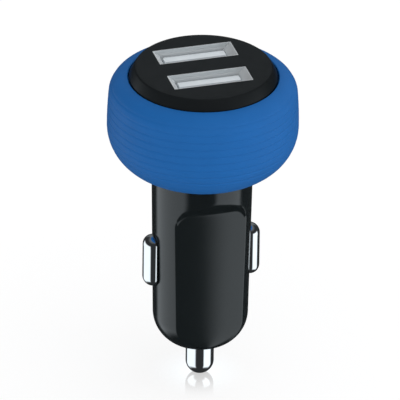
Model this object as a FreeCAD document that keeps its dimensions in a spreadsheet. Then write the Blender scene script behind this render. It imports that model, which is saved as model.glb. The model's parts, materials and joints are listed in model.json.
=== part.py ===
import FreeCAD, Part
import math
import os
import re

import Sketcher
from FreeCAD import Placement, Rotation, Vector

# Two-port USB charger for a 12 V vehicle socket, in millimetres.
# The origin lies on the plug's axis, level with the lower lip of the grip ring,
# where the rim of a socket stops. +Z points up to the ports, X runs along the
# ports' long side, and -Y is the front.

DRIVING_SIZES = {
    # Grip ring: a moulded sleeve with a bowl-shaped underside and a square shoulder.
    "ring_height": 19.2,
    "ring_waist": 9.05,
    "ring_wall": 2.2,
    "ring_floor": 1.6,
    "seam_inset": 4.0,
    "side_lean": 0.25,
    "ring_rib_thick": 1.2,
    # Face plate: a cap with a chamfered rim and a skirt that snaps into the barrel's bowl.
    "plate_rise": 1.95,
    "plate_slope": 1.2,
    "plate_rim_depth": 1.2,
    "plate_wall": 1.95,
    "skirt_wall": 0.95,
    "skirt_length": 6.0,
    "skirt_slot": 3.0,
    "snap_depth": 0.3,
    "snap_height": 1.0,
    # Barrel: the plug's body, drafted, with a rounded nose and a bowl at its head.
    "barrel_radius": 9.65,
    "barrel_draft": 0.54,
    "barrel_wall": 0.91,
    "barrel_straight": 31.3,
    "nose_length": 6.6,
    "nose_lip": 0.32,
    "seam_wall": 0.9,
    "bowl_wall": 1.3,
    "bowl_foot": 1.65,
    "bowl_floor": 1.6,
    "board_ledge": 1.1,
    "flat_top": 6.9,
    "flat_wall": 1.2,
    "rail_thick": 0.9,
    "rail_reach": 0.8,
    "rail_gap": 0.5,
    "rail_drop": 1.7,
    # Tip contact: a sprung pin with a domed end and a collar inside the nose.
    "pin_radius": 2.7,
    "pin_reach": 7.1,
    "pin_floor": 2.5,
    "pin_travel": 2.5,
    "shank_relief": 0.3,
    "shank_gap": 0.3,
    "collar_lip": 1.2,
    "collar_gap": 0.4,
    "collar_thick": 1.2,
    "stub_gap": 0.5,
    "stub_length": 3.0,
    "spring_pressed": 5.2,
    "spring_inset": 0.95,
    "spring_wire": 0.5,
    "spring_turns": 5.0,
    "terminal_rest": 0.7,
    "terminal_gap": 0.4,
    "terminal_thick": 0.6,
    "terminal_tab_width": 3.0,
    "terminal_tab_height": 3.4,
    # Side contacts: drawn shells whose crowns stand out of slots in the barrel.
    "contact_stand": 1.65,
    "contact_width": 4.4,
    "contact_height": 10.6,
    "contact_lift": 7.3,
    "contact_wall": 0.45,
    "contact_end_round": 1.9,
    "contact_edge_round": 1.1,
    "contact_travel": 1.2,
    "foot_width": 3.4,
    "foot_height": 1.2,
    "wiper_width": 1.2,
    "wiper_thick": 0.25,
    "wiper_reach": 3.0,
    # Ports: stamped shells with flared mouths over a moulded base and tongue.
    "port_pitch": 10.26,
    "port_shift": 0.6,
    "port_margin": 0.55,
    "port_opening_length": 12.5,
    "port_opening_width": 5.0,
    "shell_wall": 0.25,
    "mouth_flare": 1.2,
    "mouth_depth": 1.2,
    "latch_width": 2.2,
    "latch_height": 2.8,
    "latch_spacing": 6.0,
    "latch_drop": 3.4,
    "leg_width": 2.0,
    "leg_length": 2.4,
    "base_height": 3.6,
    "tongue_end_gap": 0.7,
    "tongue_thick": 1.84,
    "tongue_gap": 2.2,
    "tongue_drop": 1.0,
    "blade_width": 1.0,
    "blade_thick": 0.25,
    "blade_inner_spacing": 2.0,
    "blade_outer_spacing": 7.0,
    "blade_drop": 0.6,
    "blade_tail": 0.8,
    # Circuit boards.
    "board_thick": 1.2,
    "board_seat": 7.0,
    "board_edge_gap": 1.0,
    "board_shoulder_gap": 0.7,
    "board_tab_width": 2.4,
    "board_tab_spacing": 10.0,
    # Electronic parts, placed by their height above the foot of the main board.
    "can_room": 0.4,
    "can_foot_lift": 13.4,
    "can_head_room": 1.4,
    "can_spacing": 2.1,
    "output_can_room": 2.6,
    "choke_radius": 3.3,
    "choke_flange": 0.7,
    "choke_waist": 2.3,
    "choke_room": 1.4,
    "choke_lift": 19.9,
    "chip_length": 4.9,
    "chip_width": 3.9,
    "chip_thick": 1.5,
    "chip_lift": 8.9,
    "chip_lead_pitch": 1.27,
    "chip_lead_width": 0.42,
    "chip_lead_reach": 1.05,
    "chip_lead_thick": 0.2,
    "diode_length": 4.3,
    "diode_width": 2.6,
    "diode_thick": 2.1,
    "diode_lift": 12.4,
    "diode_foot": 0.4,
    "fuse_length": 3.2,
    "fuse_width": 1.6,
    "fuse_thick": 0.8,
    "fuse_lift": 7.4,
    "resistor_length": 2.0,
    "resistor_width": 1.25,
    "resistor_thick": 0.55,
    "resistor_pitch": 1.9,
    "resistor_lift": 3.7,
    # Clearances.
    "slip": 0.1,
    "nest": 0.15,
    "running": 0.08,
}

RING_RIBS = 8
SKIRT_SLOTS = 4
RESISTORS = 4
WIRE_SIDES = 6

# How far a cutting section passes the faces that it cuts.
OVERCUT = 1


def tangent_radius(across, along):
    """Radius of an arc that starts along a direction and drifts off it by across."""
    return f"((({across}) ^ 2 + ({along}) ^ 2) / (2 * ({across})))"


# Ports: each sits in the plate between the outer corners of the other and the bowl.
SHELL_LENGTH = "(port_opening_length + 2 * shell_wall)"
SHELL_WIDTH = "(port_opening_width + 2 * shell_wall)"
MOUTH_LENGTH = f"({SHELL_LENGTH} + 2 * mouth_flare)"
TONGUE_LENGTH = "(port_opening_length - 2 * tongue_end_gap)"
TONGUE_FACE = "(tongue_gap - port_opening_width / 2)"
PORT_CORNER = f"sqrt(({MOUTH_LENGTH} / 2) ^ 2 + (port_shift + port_pitch / 2 + {SHELL_WIDTH} / 2) ^ 2)"

# Head, from the ports outwards and up.
BOWL_INNER = f"({PORT_CORNER} + port_margin)"
BOWL_RADIUS = f"({BOWL_INNER} + bowl_wall)"
SEAM_RADIUS = f"({BOWL_RADIUS} + seam_wall)"
RING_RADIUS = f"({SEAM_RADIUS} + seam_inset)"
SHOULDER_ROUND = "(seam_inset - side_lean)"
SKIRT_RADIUS = f"({BOWL_INNER} - nest)"
PLATE_RADIUS = f"({SEAM_RADIUS} - slip)"
PLATE_TOP_RADIUS = f"({SEAM_RADIUS} - plate_slope)"
PLATE_TOP = "(ring_height + plate_rise)"
PLATE_SEAT = "(ring_height - plate_rim_depth)"
SKIRT_END = f"({PLATE_SEAT} - skirt_length)"
BOWL_FLOOR_TOP = "(ring_floor + bowl_floor)"
BOARD_TOP = "(board_seat + board_thick)"
BOARD_FACE = "(board_thick / 2)"

# Tip, from the pin outwards and from the nose's end up.
NOSE_END = "(0 - barrel_straight - nose_length)"
NOSE_END_RADIUS = "(pin_radius + running + nose_lip)"
PIN_SEAT = f"({NOSE_END} + pin_floor)"
COLLAR_TOP = f"({PIN_SEAT} + collar_thick)"
CAVITY_FLOOR = f"({COLLAR_TOP} + pin_travel + spring_pressed)"
SHANK_RADIUS = "(pin_radius - shank_relief)"
COLLAR_RADIUS = "(pin_radius + collar_lip)"
CHAMBER_RADIUS = f"({COLLAR_RADIUS} + collar_gap)"
SPRING_RADIUS = f"({COLLAR_RADIUS} - spring_inset)"
STUB_RADIUS = f"({SPRING_RADIUS} - spring_wire / 2 - stub_gap)"
TERMINAL_RADIUS = f"({CHAMBER_RADIUS} + terminal_rest)"

# Barrel walls, flats and side contacts.
BARREL_LOW_RADIUS = "(barrel_radius - barrel_draft)"
CAVITY_RADIUS = f"({BARREL_LOW_RADIUS} - barrel_wall)"
FLAT_INNER = f"({TERMINAL_RADIUS} + terminal_gap)"
FLAT_OFFSET = f"({FLAT_INNER} + flat_wall)"
CONTACT_REACH = "(barrel_radius + contact_stand)"
CONTACT_MIDDLE = f"({CAVITY_FLOOR} + contact_lift)"
FOOT_FACE = f"(sqrt({CAVITY_RADIUS} ^ 2 - foot_width ^ 2 / 4) - slip)"

# Main board and what stands on it.
BOARD_FOOT = f"({CAVITY_FLOOR} + terminal_thick)"
BOARD_HALF = f"({CAVITY_RADIUS} - board_edge_gap)"
BOARD_NECK = f"({FOOT_FACE} - contact_wall - contact_travel - nest)"
BOARD_SHOULDER = f"({CONTACT_MIDDLE} + contact_height / 2 + foot_height + board_shoulder_gap)"
RAIL_BOTTOM = f"({BOARD_SHOULDER} + rail_gap)"
CAN_RADIUS = f"(({FLAT_INNER} - {BOARD_FACE} - can_room) / 2)"
CAN_FOOT = f"({BOARD_FOOT} + can_foot_lift)"
CAN_LENGTH = f"((board_seat - can_head_room - {CAN_FOOT} - can_spacing) / 2)"
CHOKE_TOP = f"({FLAT_INNER} - choke_room)"

# Radii of the ring's two long arcs and of the nose.
RING_UNDERSIDE = tangent_radius(f"{RING_RADIUS} - barrel_radius - nest", "ring_waist")
RING_SIDE = tangent_radius("side_lean", f"ring_height - {SHOULDER_ROUND} - ring_waist")
NOSE_ROUND = tangent_radius(f"{BARREL_LOW_RADIUS} - {NOSE_END_RADIUS}", "nose_length")

doc = FreeCAD.newDocument("usb_car_charger")
sheet = doc.addObject("Spreadsheet::Sheet", "sizes")
pieces = []


def fill_sheet():
    """Write the driving sizes into the sheet, one alias each."""
    for row, (name, number) in enumerate(DRIVING_SIZES.items(), start=1):
        sheet.set(f"A{row}", name)
        sheet.set(f"B{row}", str(number))
        sheet.setAlias(f"B{row}", name)
    doc.recompute()


def amount(text):
    """Number that an expression on the driving sizes gives."""
    return float(sheet.evalExpression(text))


def linked(text):
    """The same expression, with each size read from the sheet."""
    def from_sheet(match):
        word = match.group(0)
        return f"sizes.{word}" if word in DRIVING_SIZES else word
    return re.sub(r"[a-z_]+", from_sheet, text)


def bind(thing, prop, text):
    """Tie a property of an object to an expression on the driving sizes."""
    thing.setExpression(prop, linked(text))


def new_body(label):
    """Body of one piece, listed for export under its label."""
    body = doc.addObject("PartDesign::Body", label)
    body.Label = label
    pieces.append(body)
    return body


def new_sketch(body, name, plane, lift="0"):
    """Sketch on an origin plane of the body, lifted along the plane's normal."""
    support = [entry for entry in body.Origin.OriginFeatures if entry.Role == plane][0]
    sketch = body.newObject("Sketcher::SketchObject", name)
    sketch.AttachmentSupport = [(support, "")]
    sketch.MapMode = "FlatFace"
    sketch.AttachmentOffset = Placement(Vector(0, 0, amount(lift)), Rotation())
    bind(sketch, "AttachmentOffset.Base.z", lift)
    return sketch


def pin_point(sketch, geometry, end, corner):
    """Hold one end of a sketch line at its two expressions."""
    for kind, text in zip(("DistanceX", "DistanceY"), corner):
        index = sketch.addConstraint(
            Sketcher.Constraint(kind, -1, 1, geometry, end, amount(text)))
        bind(sketch, f"Constraints[{index}]", text)


def arc_between(start, finish, radius):
    """Arc from start to finish, counter-clockwise, as its circle and two angles."""
    half = (finish - start) * 0.5
    rise = math.sqrt(max(radius * radius - half.Length ** 2, 0.0))
    across = Vector(-half.y, half.x, 0).normalize()
    centre = start + half + across * rise
    circle = Part.Circle(centre, Vector(0, 0, 1), radius)
    first = math.atan2(start.y - centre.y, start.x - centre.x)
    last = math.atan2(finish.y - centre.y, finish.x - centre.x)
    return Part.ArcOfCircle(circle, first, last)


def draw(sketch, corners, arcs=None):
    """Closed counter-clockwise outline through corners held by expressions.

    arcs gives, for a corner's number, the radius of the round run that leaves it.
    """
    arcs = arcs or {}
    places = [Vector(amount(across), amount(up), 0) for across, up in corners]
    count = len(corners)
    first = sketch.GeometryCount
    for number in range(count):
        start = places[number]
        finish = places[(number + 1) % count]
        if number in arcs:
            run = arc_between(start, finish, amount(arcs[number]))
        else:
            run = Part.LineSegment(start, finish)
        sketch.addGeometry(run, False)
    for number in range(count):
        following = first + (number + 1) % count
        sketch.addConstraint(
            Sketcher.Constraint("Coincident", first + number, 2, following, 1))
    for number in range(count):
        pin_point(sketch, first + number, 1, corners[number])
    for number, radius in arcs.items():
        index = sketch.addConstraint(
            Sketcher.Constraint("Radius", first + number, amount(radius)))
        bind(sketch, f"Constraints[{index}]", radius)


def rectangle(sketch, length, width, middle=("0", "0")):
    """Rectangle of bound length and width about a bound middle."""
    across, up = middle
    low_x, high_x = f"{across} - ({length}) / 2", f"{across} + ({length}) / 2"
    low_y, high_y = f"{up} - ({width}) / 2", f"{up} + ({width}) / 2"
    draw(sketch, [(low_x, low_y), (high_x, low_y), (high_x, high_y), (low_x, high_y)])


def circle(sketch, radius, middle=("0", "0")):
    """Circle of bound radius about a bound middle."""
    place = Vector(amount(middle[0]), amount(middle[1]), 0)
    number = sketch.addGeometry(Part.Circle(place, Vector(0, 0, 1), amount(radius)), False)
    pin_point(sketch, number, 3, middle)
    index = sketch.addConstraint(Sketcher.Constraint("Radius", number, amount(radius)))
    bind(sketch, f"Constraints[{index}]", radius)


def revolve(body, name, sketch, kind="PartDesign::Revolution"):
    """Turn a sketch once round its upright axis."""
    feature = body.newObject(kind, name)
    feature.Profile = sketch
    feature.ReferenceAxis = (sketch, ["V_Axis"])
    feature.Angle = 360
    doc.recompute()
    return feature


def extrude(body, name, sketch, length, kind="PartDesign::Pad", reverse=False, both=False):
    """Pad or pocket a sketch by a bound length."""
    feature = body.newObject(kind, name)
    feature.Profile = sketch
    feature.Length = amount(length)
    bind(feature, "Length", length)
    feature.Reversed = reverse
    feature.Midplane = both
    doc.recompute()
    return feature


def cut(body, name, sketch, length, reverse=False, both=False):
    """Pocket that has to take material away."""
    before = body.Shape.Volume
    feature = extrude(body, name, sketch, length, "PartDesign::Pocket", reverse, both)
    if body.Shape.Volume > before - 1e-4:
        raise ValueError(f"{body.Label}: {name} cuts nothing")
    return feature


def around_axis(body, name, feature, count):
    """Repeat a feature evenly about the upright axis."""
    axis = [entry for entry in body.Origin.OriginFeatures if entry.Role == "Z_Axis"][0]
    pattern = body.newObject("PartDesign::PolarPattern", name)
    pattern.Originals = [feature]
    pattern.Axis = (axis, [""])
    pattern.Angle = 360
    pattern.Occurrences = count
    body.Tip = pattern
    doc.recompute()
    return pattern


def mirror(body, name, feature, plane):
    """Repeat a feature on the other side of an origin plane."""
    support = [entry for entry in body.Origin.OriginFeatures if entry.Role == plane][0]
    mirrored = body.newObject("PartDesign::Mirrored", name)
    mirrored.Originals = [feature]
    mirrored.MirrorPlane = (support, [""])
    body.Tip = mirrored
    doc.recompute()
    return mirrored


def edges_where(shape, test):
    """Names of the edges of a shape that pass a test."""
    return [f"Edge{number}" for number, edge in enumerate(shape.Edges, start=1) if test(edge)]


def round_edges(body, name, base, test, radius):
    """Fillet the edges of the last feature that pass a test."""
    fillet = body.newObject("PartDesign::Fillet", name)
    fillet.Base = (base, edges_where(base.Shape, test))
    fillet.Radius = amount(radius)
    bind(fillet, "Radius", radius)
    doc.recompute()
    return fillet


def near(number, text):
    """True if a number equals an expression on the driving sizes."""
    return abs(number - amount(text)) < 1e-4


def add_grip_ring():
    """Grip ring: three tangent arcs outside, cored inside, ribs that centre the bowl."""
    body = new_body("grip_ring")
    profile = new_sketch(body, "ring_profile", "XZ_Plane")
    hole = "barrel_radius + nest"
    cone_foot = "(barrel_radius + bowl_foot + nest)"
    inner = f"({RING_RADIUS} - ring_wall)"
    cone_rise = f"ring_floor + {inner} - {cone_foot}"
    opening = f"{BOWL_RADIUS} + nest"
    roof = "ring_height - ring_wall"
    corners = [
        (hole, "0"),
        (RING_RADIUS, "ring_waist"),
        (f"{RING_RADIUS} - side_lean", f"ring_height - {SHOULDER_ROUND}"),
        (f"{SEAM_RADIUS} + slip", "ring_height"),
        (f"{SEAM_RADIUS} + slip", PLATE_SEAT),
        (opening, PLATE_SEAT),
        (opening, roof),
        (inner, roof),
        (inner, cone_rise),
        (cone_foot, "ring_floor"),
        (hole, "ring_floor"),
    ]
    draw(profile, corners, arcs={0: RING_UNDERSIDE, 1: RING_SIDE, 2: SHOULDER_ROUND})
    revolve(body, "ring_shell", profile)

    rib = new_sketch(body, "rib_section", "XZ_Plane")
    shelf_middle = f"({roof} + {PLATE_SEAT}) / 2"
    rib_corners = [
        (opening, f"ring_floor + {opening} - {cone_foot}"),
        (f"{inner} + ring_wall / 2", f"{cone_rise} + ring_wall / 2"),
        (f"{inner} + ring_wall / 2", f"{roof} - ring_wall / 2"),
        (inner, shelf_middle),
        (opening, shelf_middle),
    ]
    draw(rib, rib_corners)
    rib_pad = extrude(body, "rib", rib, "ring_rib_thick", both=True)
    around_axis(body, "ribs", rib_pad, RING_RIBS)


def add_barrel():
    """Barrel: outer form, flats, cavity, side slots, board rails and snap groove."""
    body = new_body("barrel")
    profile = new_sketch(body, "barrel_profile", "XZ_Plane")
    cone_foot = "(barrel_radius + bowl_foot)"
    ledge = f"{BOWL_INNER} - board_ledge"
    corners = [
        ("0", NOSE_END),
        (NOSE_END_RADIUS, NOSE_END),
        (BARREL_LOW_RADIUS, "0 - barrel_straight"),
        ("barrel_radius", "0"),
        ("barrel_radius", "ring_floor"),
        (cone_foot, "ring_floor"),
        (BOWL_RADIUS, f"ring_floor + {BOWL_RADIUS} - {cone_foot}"),
        (BOWL_RADIUS, PLATE_SEAT),
        (BOWL_INNER, PLATE_SEAT),
        (BOWL_INNER, "board_seat"),
        (ledge, "board_seat"),
        (ledge, BOWL_FLOOR_TOP),
        ("0", BOWL_FLOOR_TOP),
    ]
    draw(profile, corners, arcs={1: NOSE_ROUND})
    revolve(body, "barrel_form", profile)

    flat = new_sketch(body, "flat_side", "YZ_Plane")
    far = f"(barrel_radius + {OVERCUT})"
    flat_corners = [
        (f"0 - {far}", f"{NOSE_END} - {OVERCUT}"),
        (f"0 - {FLAT_OFFSET}", f"{NOSE_END} - {OVERCUT}"),
        (f"0 - {FLAT_OFFSET}", "0 - flat_top"),
        (f"0 - {far}", f"{far} - {FLAT_OFFSET} - flat_top"),
    ]
    draw(flat, flat_corners)
    front = cut(body, "front_flat", flat, f"2 * {far}", both=True)
    mirror(body, "back_flat", front, "XZ_Plane")

    ramp_bottom = f"(barrel_radius - {FLAT_OFFSET} - flat_top - flat_wall)"
    mouth = new_sketch(body, "round_cavity_section", "XY_Plane", BOWL_FLOOR_TOP)
    circle(mouth, CAVITY_RADIUS)
    cut(body, "round_cavity", mouth, f"{BOWL_FLOOR_TOP} - {ramp_bottom}")

    lower = new_sketch(body, "flat_cavity_section", "XY_Plane", ramp_bottom)
    half_chord = f"sqrt({CAVITY_RADIUS} ^ 2 - {FLAT_INNER} ^ 2)"
    lower_corners = [
        (f"0 - {half_chord}", f"0 - {FLAT_INNER}"),
        (half_chord, f"0 - {FLAT_INNER}"),
        (half_chord, FLAT_INNER),
        (f"0 - {half_chord}", FLAT_INNER),
    ]
    draw(lower, lower_corners, arcs={1: CAVITY_RADIUS, 3: CAVITY_RADIUS})
    cut(body, "flat_cavity", lower, f"{ramp_bottom} - {CAVITY_FLOOR}")

    chamber = new_sketch(body, "spring_chamber_section", "XY_Plane", CAVITY_FLOOR)
    circle(chamber, CHAMBER_RADIUS)
    cut(body, "spring_chamber", chamber, f"{CAVITY_FLOOR} - {PIN_SEAT}")

    bore = new_sketch(body, "pin_bore_section", "XY_Plane", PIN_SEAT)
    circle(bore, "pin_radius + running")
    cut(body, "pin_bore", bore, f"pin_floor + {OVERCUT}")

    slot = new_sketch(body, "contact_slot_section", "YZ_Plane")
    rectangle(slot, "contact_width + 2 * nest", "contact_height + 2 * nest",
              ("0", CONTACT_MIDDLE))
    cut(body, "contact_slots", slot, f"2 * {CONTACT_REACH}", both=True)

    rails = new_sketch(body, "rail_sections", "XY_Plane", RAIL_BOTTOM)
    rail_outer = f"({CAVITY_RADIUS} + barrel_wall / 4)"
    rail_inner = f"({BOARD_HALF} - rail_reach)"
    for side_x in (-1, 1):
        for side_y in (-1, 1):
            middle = (f"{side_x} * ({rail_outer} + {rail_inner}) / 2",
                      f"{side_y} * ({BOARD_FACE} + slip + rail_thick / 2)")
            rectangle(rails, f"{rail_outer} - {rail_inner}", "rail_thick", middle)
    extrude(body, "board_rails", rails, f"{BOWL_FLOOR_TOP} - rail_drop - {RAIL_BOTTOM}")

    snap = new_sketch(body, "snap_groove_section", "XZ_Plane")
    snap_middle = f"{SKIRT_END} + snap_height"
    rectangle(snap, "2 * snap_depth", "snap_height + 4 * slip", (BOWL_INNER, snap_middle))
    revolve(body, "snap_groove", snap, "PartDesign::Groove")


def add_face_plate():
    """Face plate: chamfered cap with two port windows and a slotted snap skirt."""
    body = new_body("face_plate")
    profile = new_sketch(body, "plate_profile", "XZ_Plane")
    under = f"{PLATE_TOP} - plate_wall"
    bead_low = f"{SKIRT_END} + snap_height / 2"
    bead_high = f"{SKIRT_END} + 3 * snap_height / 2"
    bead_middle = f"{SKIRT_END} + snap_height"
    corners = [
        ("0", under),
        (f"{SKIRT_RADIUS} - skirt_wall", under),
        (f"{SKIRT_RADIUS} - skirt_wall", SKIRT_END),
        (SKIRT_RADIUS, SKIRT_END),
        (SKIRT_RADIUS, bead_low),
        (f"{SKIRT_RADIUS} + snap_depth", bead_middle),
        (SKIRT_RADIUS, bead_high),
        (SKIRT_RADIUS, PLATE_SEAT),
        (PLATE_RADIUS, PLATE_SEAT),
        (PLATE_RADIUS, "ring_height"),
        (PLATE_TOP_RADIUS, PLATE_TOP),
        ("0", PLATE_TOP),
    ]
    draw(profile, corners)
    revolve(body, "cap", profile)

    windows = new_sketch(body, "port_window_sections", "XY_Plane", PLATE_TOP)
    for side in (-1, 1):
        rectangle(windows, f"{MOUTH_LENGTH} + 2 * slip", f"{SHELL_WIDTH} + 2 * slip",
                  ("0", f"port_shift + {side} * port_pitch / 2"))
    cut(body, "port_windows", windows, f"plate_wall + {OVERCUT}")

    slot = new_sketch(body, "skirt_slot_section", "XZ_Plane")
    rectangle(slot, "skirt_slot", "skirt_length", ("0", f"{SKIRT_END} + skirt_length / 2 - slip"))
    first = cut(body, "skirt_slot_cut", slot, f"{SKIRT_RADIUS} + {OVERCUT}")
    around_axis(body, "skirt_slots", first, SKIRT_SLOTS)


def add_tip_contact():
    """Tip contact: domed pin, collar that stops in the nose, stub inside the spring."""
    body = new_body("tip_contact")
    profile = new_sketch(body, "tip_profile", "XZ_Plane")
    pin_end = f"{NOSE_END} - pin_reach"
    corners = [
        ("0", pin_end),
        ("pin_radius", f"{pin_end} + pin_radius"),
        ("pin_radius", f"{NOSE_END} - shank_gap"),
        (SHANK_RADIUS, f"{NOSE_END} - shank_gap + shank_relief"),
        (SHANK_RADIUS, PIN_SEAT),
        (COLLAR_RADIUS, PIN_SEAT),
        (COLLAR_RADIUS, COLLAR_TOP),
        (STUB_RADIUS, COLLAR_TOP),
        (STUB_RADIUS, f"{COLLAR_TOP} + stub_length"),
        ("0", f"{COLLAR_TOP} + stub_length"),
    ]
    draw(profile, corners, arcs={0: "pin_radius"})
    revolve(body, "tip_form", profile)


def add_tip_spring():
    """Tip spring: a helix of six-sided wire between the collar and the terminal."""
    body = new_body("tip_spring")
    section = new_sketch(body, "wire_section", "XZ_Plane")
    middle = f"{COLLAR_TOP} + spring_wire / 2 + slip / 4"
    corners = []
    for corner in range(WIRE_SIDES):
        turn = 360 * corner / WIRE_SIDES
        corners.append((f"{SPRING_RADIUS} + spring_wire / 2 * cos({turn})",
                        f"{middle} + spring_wire / 2 * sin({turn})"))
    draw(section, corners)
    coil = body.newObject("PartDesign::AdditiveHelix", "coil")
    coil.Profile = section
    coil.ReferenceAxis = (section, ["V_Axis"])
    coil.Mode = "height-turns-angle"
    height = f"{CAVITY_FLOOR} - {COLLAR_TOP} - spring_wire - slip / 2"
    coil.Height = amount(height)
    bind(coil, "Height", height)
    coil.Turns = amount("spring_turns")
    bind(coil, "Turns", "spring_turns")
    doc.recompute()


def add_tip_terminal():
    """Tip terminal: a disc on the cavity floor, with a tab along the main board."""
    body = new_body("tip_terminal")
    disc = new_sketch(body, "disc_section", "XY_Plane", CAVITY_FLOOR)
    circle(disc, TERMINAL_RADIUS)
    extrude(body, "disc", disc, "terminal_thick")
    tab = new_sketch(body, "tab_section", "XY_Plane", CAVITY_FLOOR)
    rectangle(tab, "terminal_tab_width", "terminal_thick",
              ("0", f"{BOARD_FACE} + terminal_thick / 2"))
    extrude(body, "tab", tab, "terminal_tab_height + terminal_thick")


def add_side_contact(label, turn):
    """Side contact: hollow rounded crown, two feet behind the wall and a wiper."""
    body = new_body(label)
    inner_end = f"({FOOT_FACE} - contact_wall)"
    half = "contact_height / 2"
    crown = new_sketch(body, "crown_outline", "XZ_Plane")
    rectangle(crown, f"{CONTACT_REACH} - {inner_end}", "contact_height",
              (f"({CONTACT_REACH} + {inner_end}) / 2", CONTACT_MIDDLE))
    block = extrude(body, "crown_block", crown, "contact_width", both=True)

    def is_end(edge):
        """Edge across the crown at its top or bottom."""
        box = edge.BoundBox
        return near(box.XMin, CONTACT_REACH) and near(box.YLength, "contact_width")
    ends = round_edges(body, "end_rounds", block, is_end, "contact_end_round")

    def is_side(edge):
        """Edge that runs along a side of the crown."""
        box = edge.BoundBox
        outside = near(abs(box.YMin), "contact_width / 2") and box.YLength < 1e-6
        return outside and box.XMax > amount(inner_end) + 1e-3
    sides = round_edges(body, "side_rounds", ends, is_side, "contact_edge_round")

    open_face = [f"Face{number}" for number, face in enumerate(sides.Shape.Faces, start=1)
                 if near(face.BoundBox.XMax, inner_end)]
    hollow = body.newObject("PartDesign::Thickness", "hollow")
    hollow.Base = (sides, open_face)
    hollow.Value = amount("contact_wall")
    bind(hollow, "Value", "contact_wall")
    hollow.Reversed = True
    doc.recompute()

    feet = new_sketch(body, "foot_sections", "YZ_Plane", inner_end)
    for side in (-1, 1):
        middle = f"{CONTACT_MIDDLE} + {side} * ({half} + foot_height / 2 - contact_wall / 2)"
        rectangle(feet, "foot_width", "foot_height + contact_wall", ("0", middle))
    extrude(body, "feet", feet, "contact_wall")

    wiper = new_sketch(body, "wiper_section", "YZ_Plane", inner_end)
    rectangle(wiper, "wiper_thick", "wiper_width",
              (f"{BOARD_FACE} + slip / 2 + wiper_thick / 2",
               f"{CONTACT_MIDDLE} - {half} + wiper_width / 2"))
    extrude(body, "wiper", wiper, "wiper_reach", reverse=True)
    body.Placement = Placement(Vector(0, 0, 0), Rotation(Vector(0, 0, 1), turn))


def leg_middle(side):
    """Middle of a shell's mounting leg, in the wall at one short end of the shell."""
    return f"{side} * ({SHELL_LENGTH} - shell_wall) / 2"


def add_usb_shell(label, side):
    """Port shell: drawn tube, flared mouth, latch windows and two soldered legs."""
    body = new_body(label)
    row = f"port_shift + {side} * port_pitch / 2"
    flare_foot = f"{PLATE_TOP} - mouth_depth"

    tube = new_sketch(body, "tube_section", "XY_Plane", BOARD_TOP)
    rectangle(tube, SHELL_LENGTH, SHELL_WIDTH, ("0", row))
    extrude(body, "tube", tube, f"{flare_foot} - {BOARD_TOP}")

    sections = []
    for name, lift, length in (("flare_low", flare_foot, SHELL_LENGTH),
                               ("flare_high", PLATE_TOP, MOUTH_LENGTH)):
        section = new_sketch(body, name, "XY_Plane", lift)
        rectangle(section, length, SHELL_WIDTH, ("0", row))
        sections.append(section)
    flare = body.newObject("PartDesign::AdditiveLoft", "flare")
    flare.Profile = sections[0]
    flare.Sections = [sections[1]]
    flare.Ruled = True
    doc.recompute()

    inner = []
    for name, lift, length in (("throat", flare_foot, "port_opening_length"),
                               ("lip", PLATE_TOP, f"{MOUTH_LENGTH} - 2 * shell_wall")):
        section = new_sketch(body, name, "XY_Plane", lift)
        rectangle(section, length, "port_opening_width", ("0", row))
        inner.append(section)
    hollow = body.newObject("PartDesign::SubtractiveLoft", "flare_hollow")
    hollow.Profile = inner[0]
    hollow.Sections = [inner[1]]
    hollow.Ruled = True
    doc.recompute()

    bore = new_sketch(body, "opening_section", "XY_Plane", flare_foot)
    rectangle(bore, "port_opening_length", "port_opening_width", ("0", row))
    cut(body, "opening", bore, f"{flare_foot} - {BOARD_TOP} + {OVERCUT}")

    windows = new_sketch(body, "latch_window_sections", "XZ_Plane", f"0 - ({row})")
    for half in (-1, 1):
        rectangle(windows, "latch_width", "latch_height",
                  (f"{half} * latch_spacing / 2", f"{PLATE_TOP} - latch_drop - latch_height / 2"))
    cut(body, "latch_windows", windows, f"{SHELL_WIDTH} + {OVERCUT}", both=True)

    legs = new_sketch(body, "leg_sections", "XY_Plane", BOARD_TOP)
    for half in (-1, 1):
        rectangle(legs, "shell_wall", "leg_width", (leg_middle(half), row))
    extrude(body, "legs", legs, "leg_length", reverse=True)


def blade_middle(number):
    """Place along the port of one of its four contact blades."""
    spacing = "blade_inner_spacing" if number in (2, 3) else "blade_outer_spacing"
    side = -1 if number < 3 else 1
    return f"{side} * {spacing} / 2"


def add_usb_insulator(label, side):
    """Port insulator: base block and tongue, with a channel for each blade."""
    body = new_body(label)
    row = f"port_shift + {side} * port_pitch / 2"
    base = new_sketch(body, "base_section", "XY_Plane", BOARD_TOP)
    rectangle(base, "port_opening_length - 2 * slip", "port_opening_width - 2 * slip", ("0", row))
    extrude(body, "base", base, "base_height")
    tongue = new_sketch(body, "tongue_section", "XY_Plane", BOARD_TOP)
    rectangle(tongue, TONGUE_LENGTH, "tongue_thick",
              ("0", f"{row} + {TONGUE_FACE} + tongue_thick / 2"))
    extrude(body, "tongue", tongue, f"{PLATE_TOP} - tongue_drop - {BOARD_TOP}")
    channels = new_sketch(body, "channel_sections", "XY_Plane", BOARD_TOP)
    for number in (1, 2, 3, 4):
        rectangle(channels, "blade_width + slip", "blade_thick + slip",
                  (blade_middle(number), f"{row} + {TONGUE_FACE} + blade_thick / 2"))
    cut(body, "channels", channels, f"{PLATE_TOP} - tongue_drop - blade_drop + slip - {BOARD_TOP}",
        reverse=True)


def add_usb_blade(label, side, number):
    """Contact blade: a flat strip from below the port board to near the tongue's end."""
    body = new_body(label)
    row = f"port_shift + {side} * port_pitch / 2"
    foot = "board_seat - blade_tail"
    section = new_sketch(body, "blade_section", "XY_Plane", foot)
    rectangle(section, "blade_width", "blade_thick",
              (blade_middle(number), f"{row} + {TONGUE_FACE} + blade_thick / 2"))
    extrude(body, "blade", section, f"{PLATE_TOP} - tongue_drop - blade_drop - ({foot})")


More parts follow.
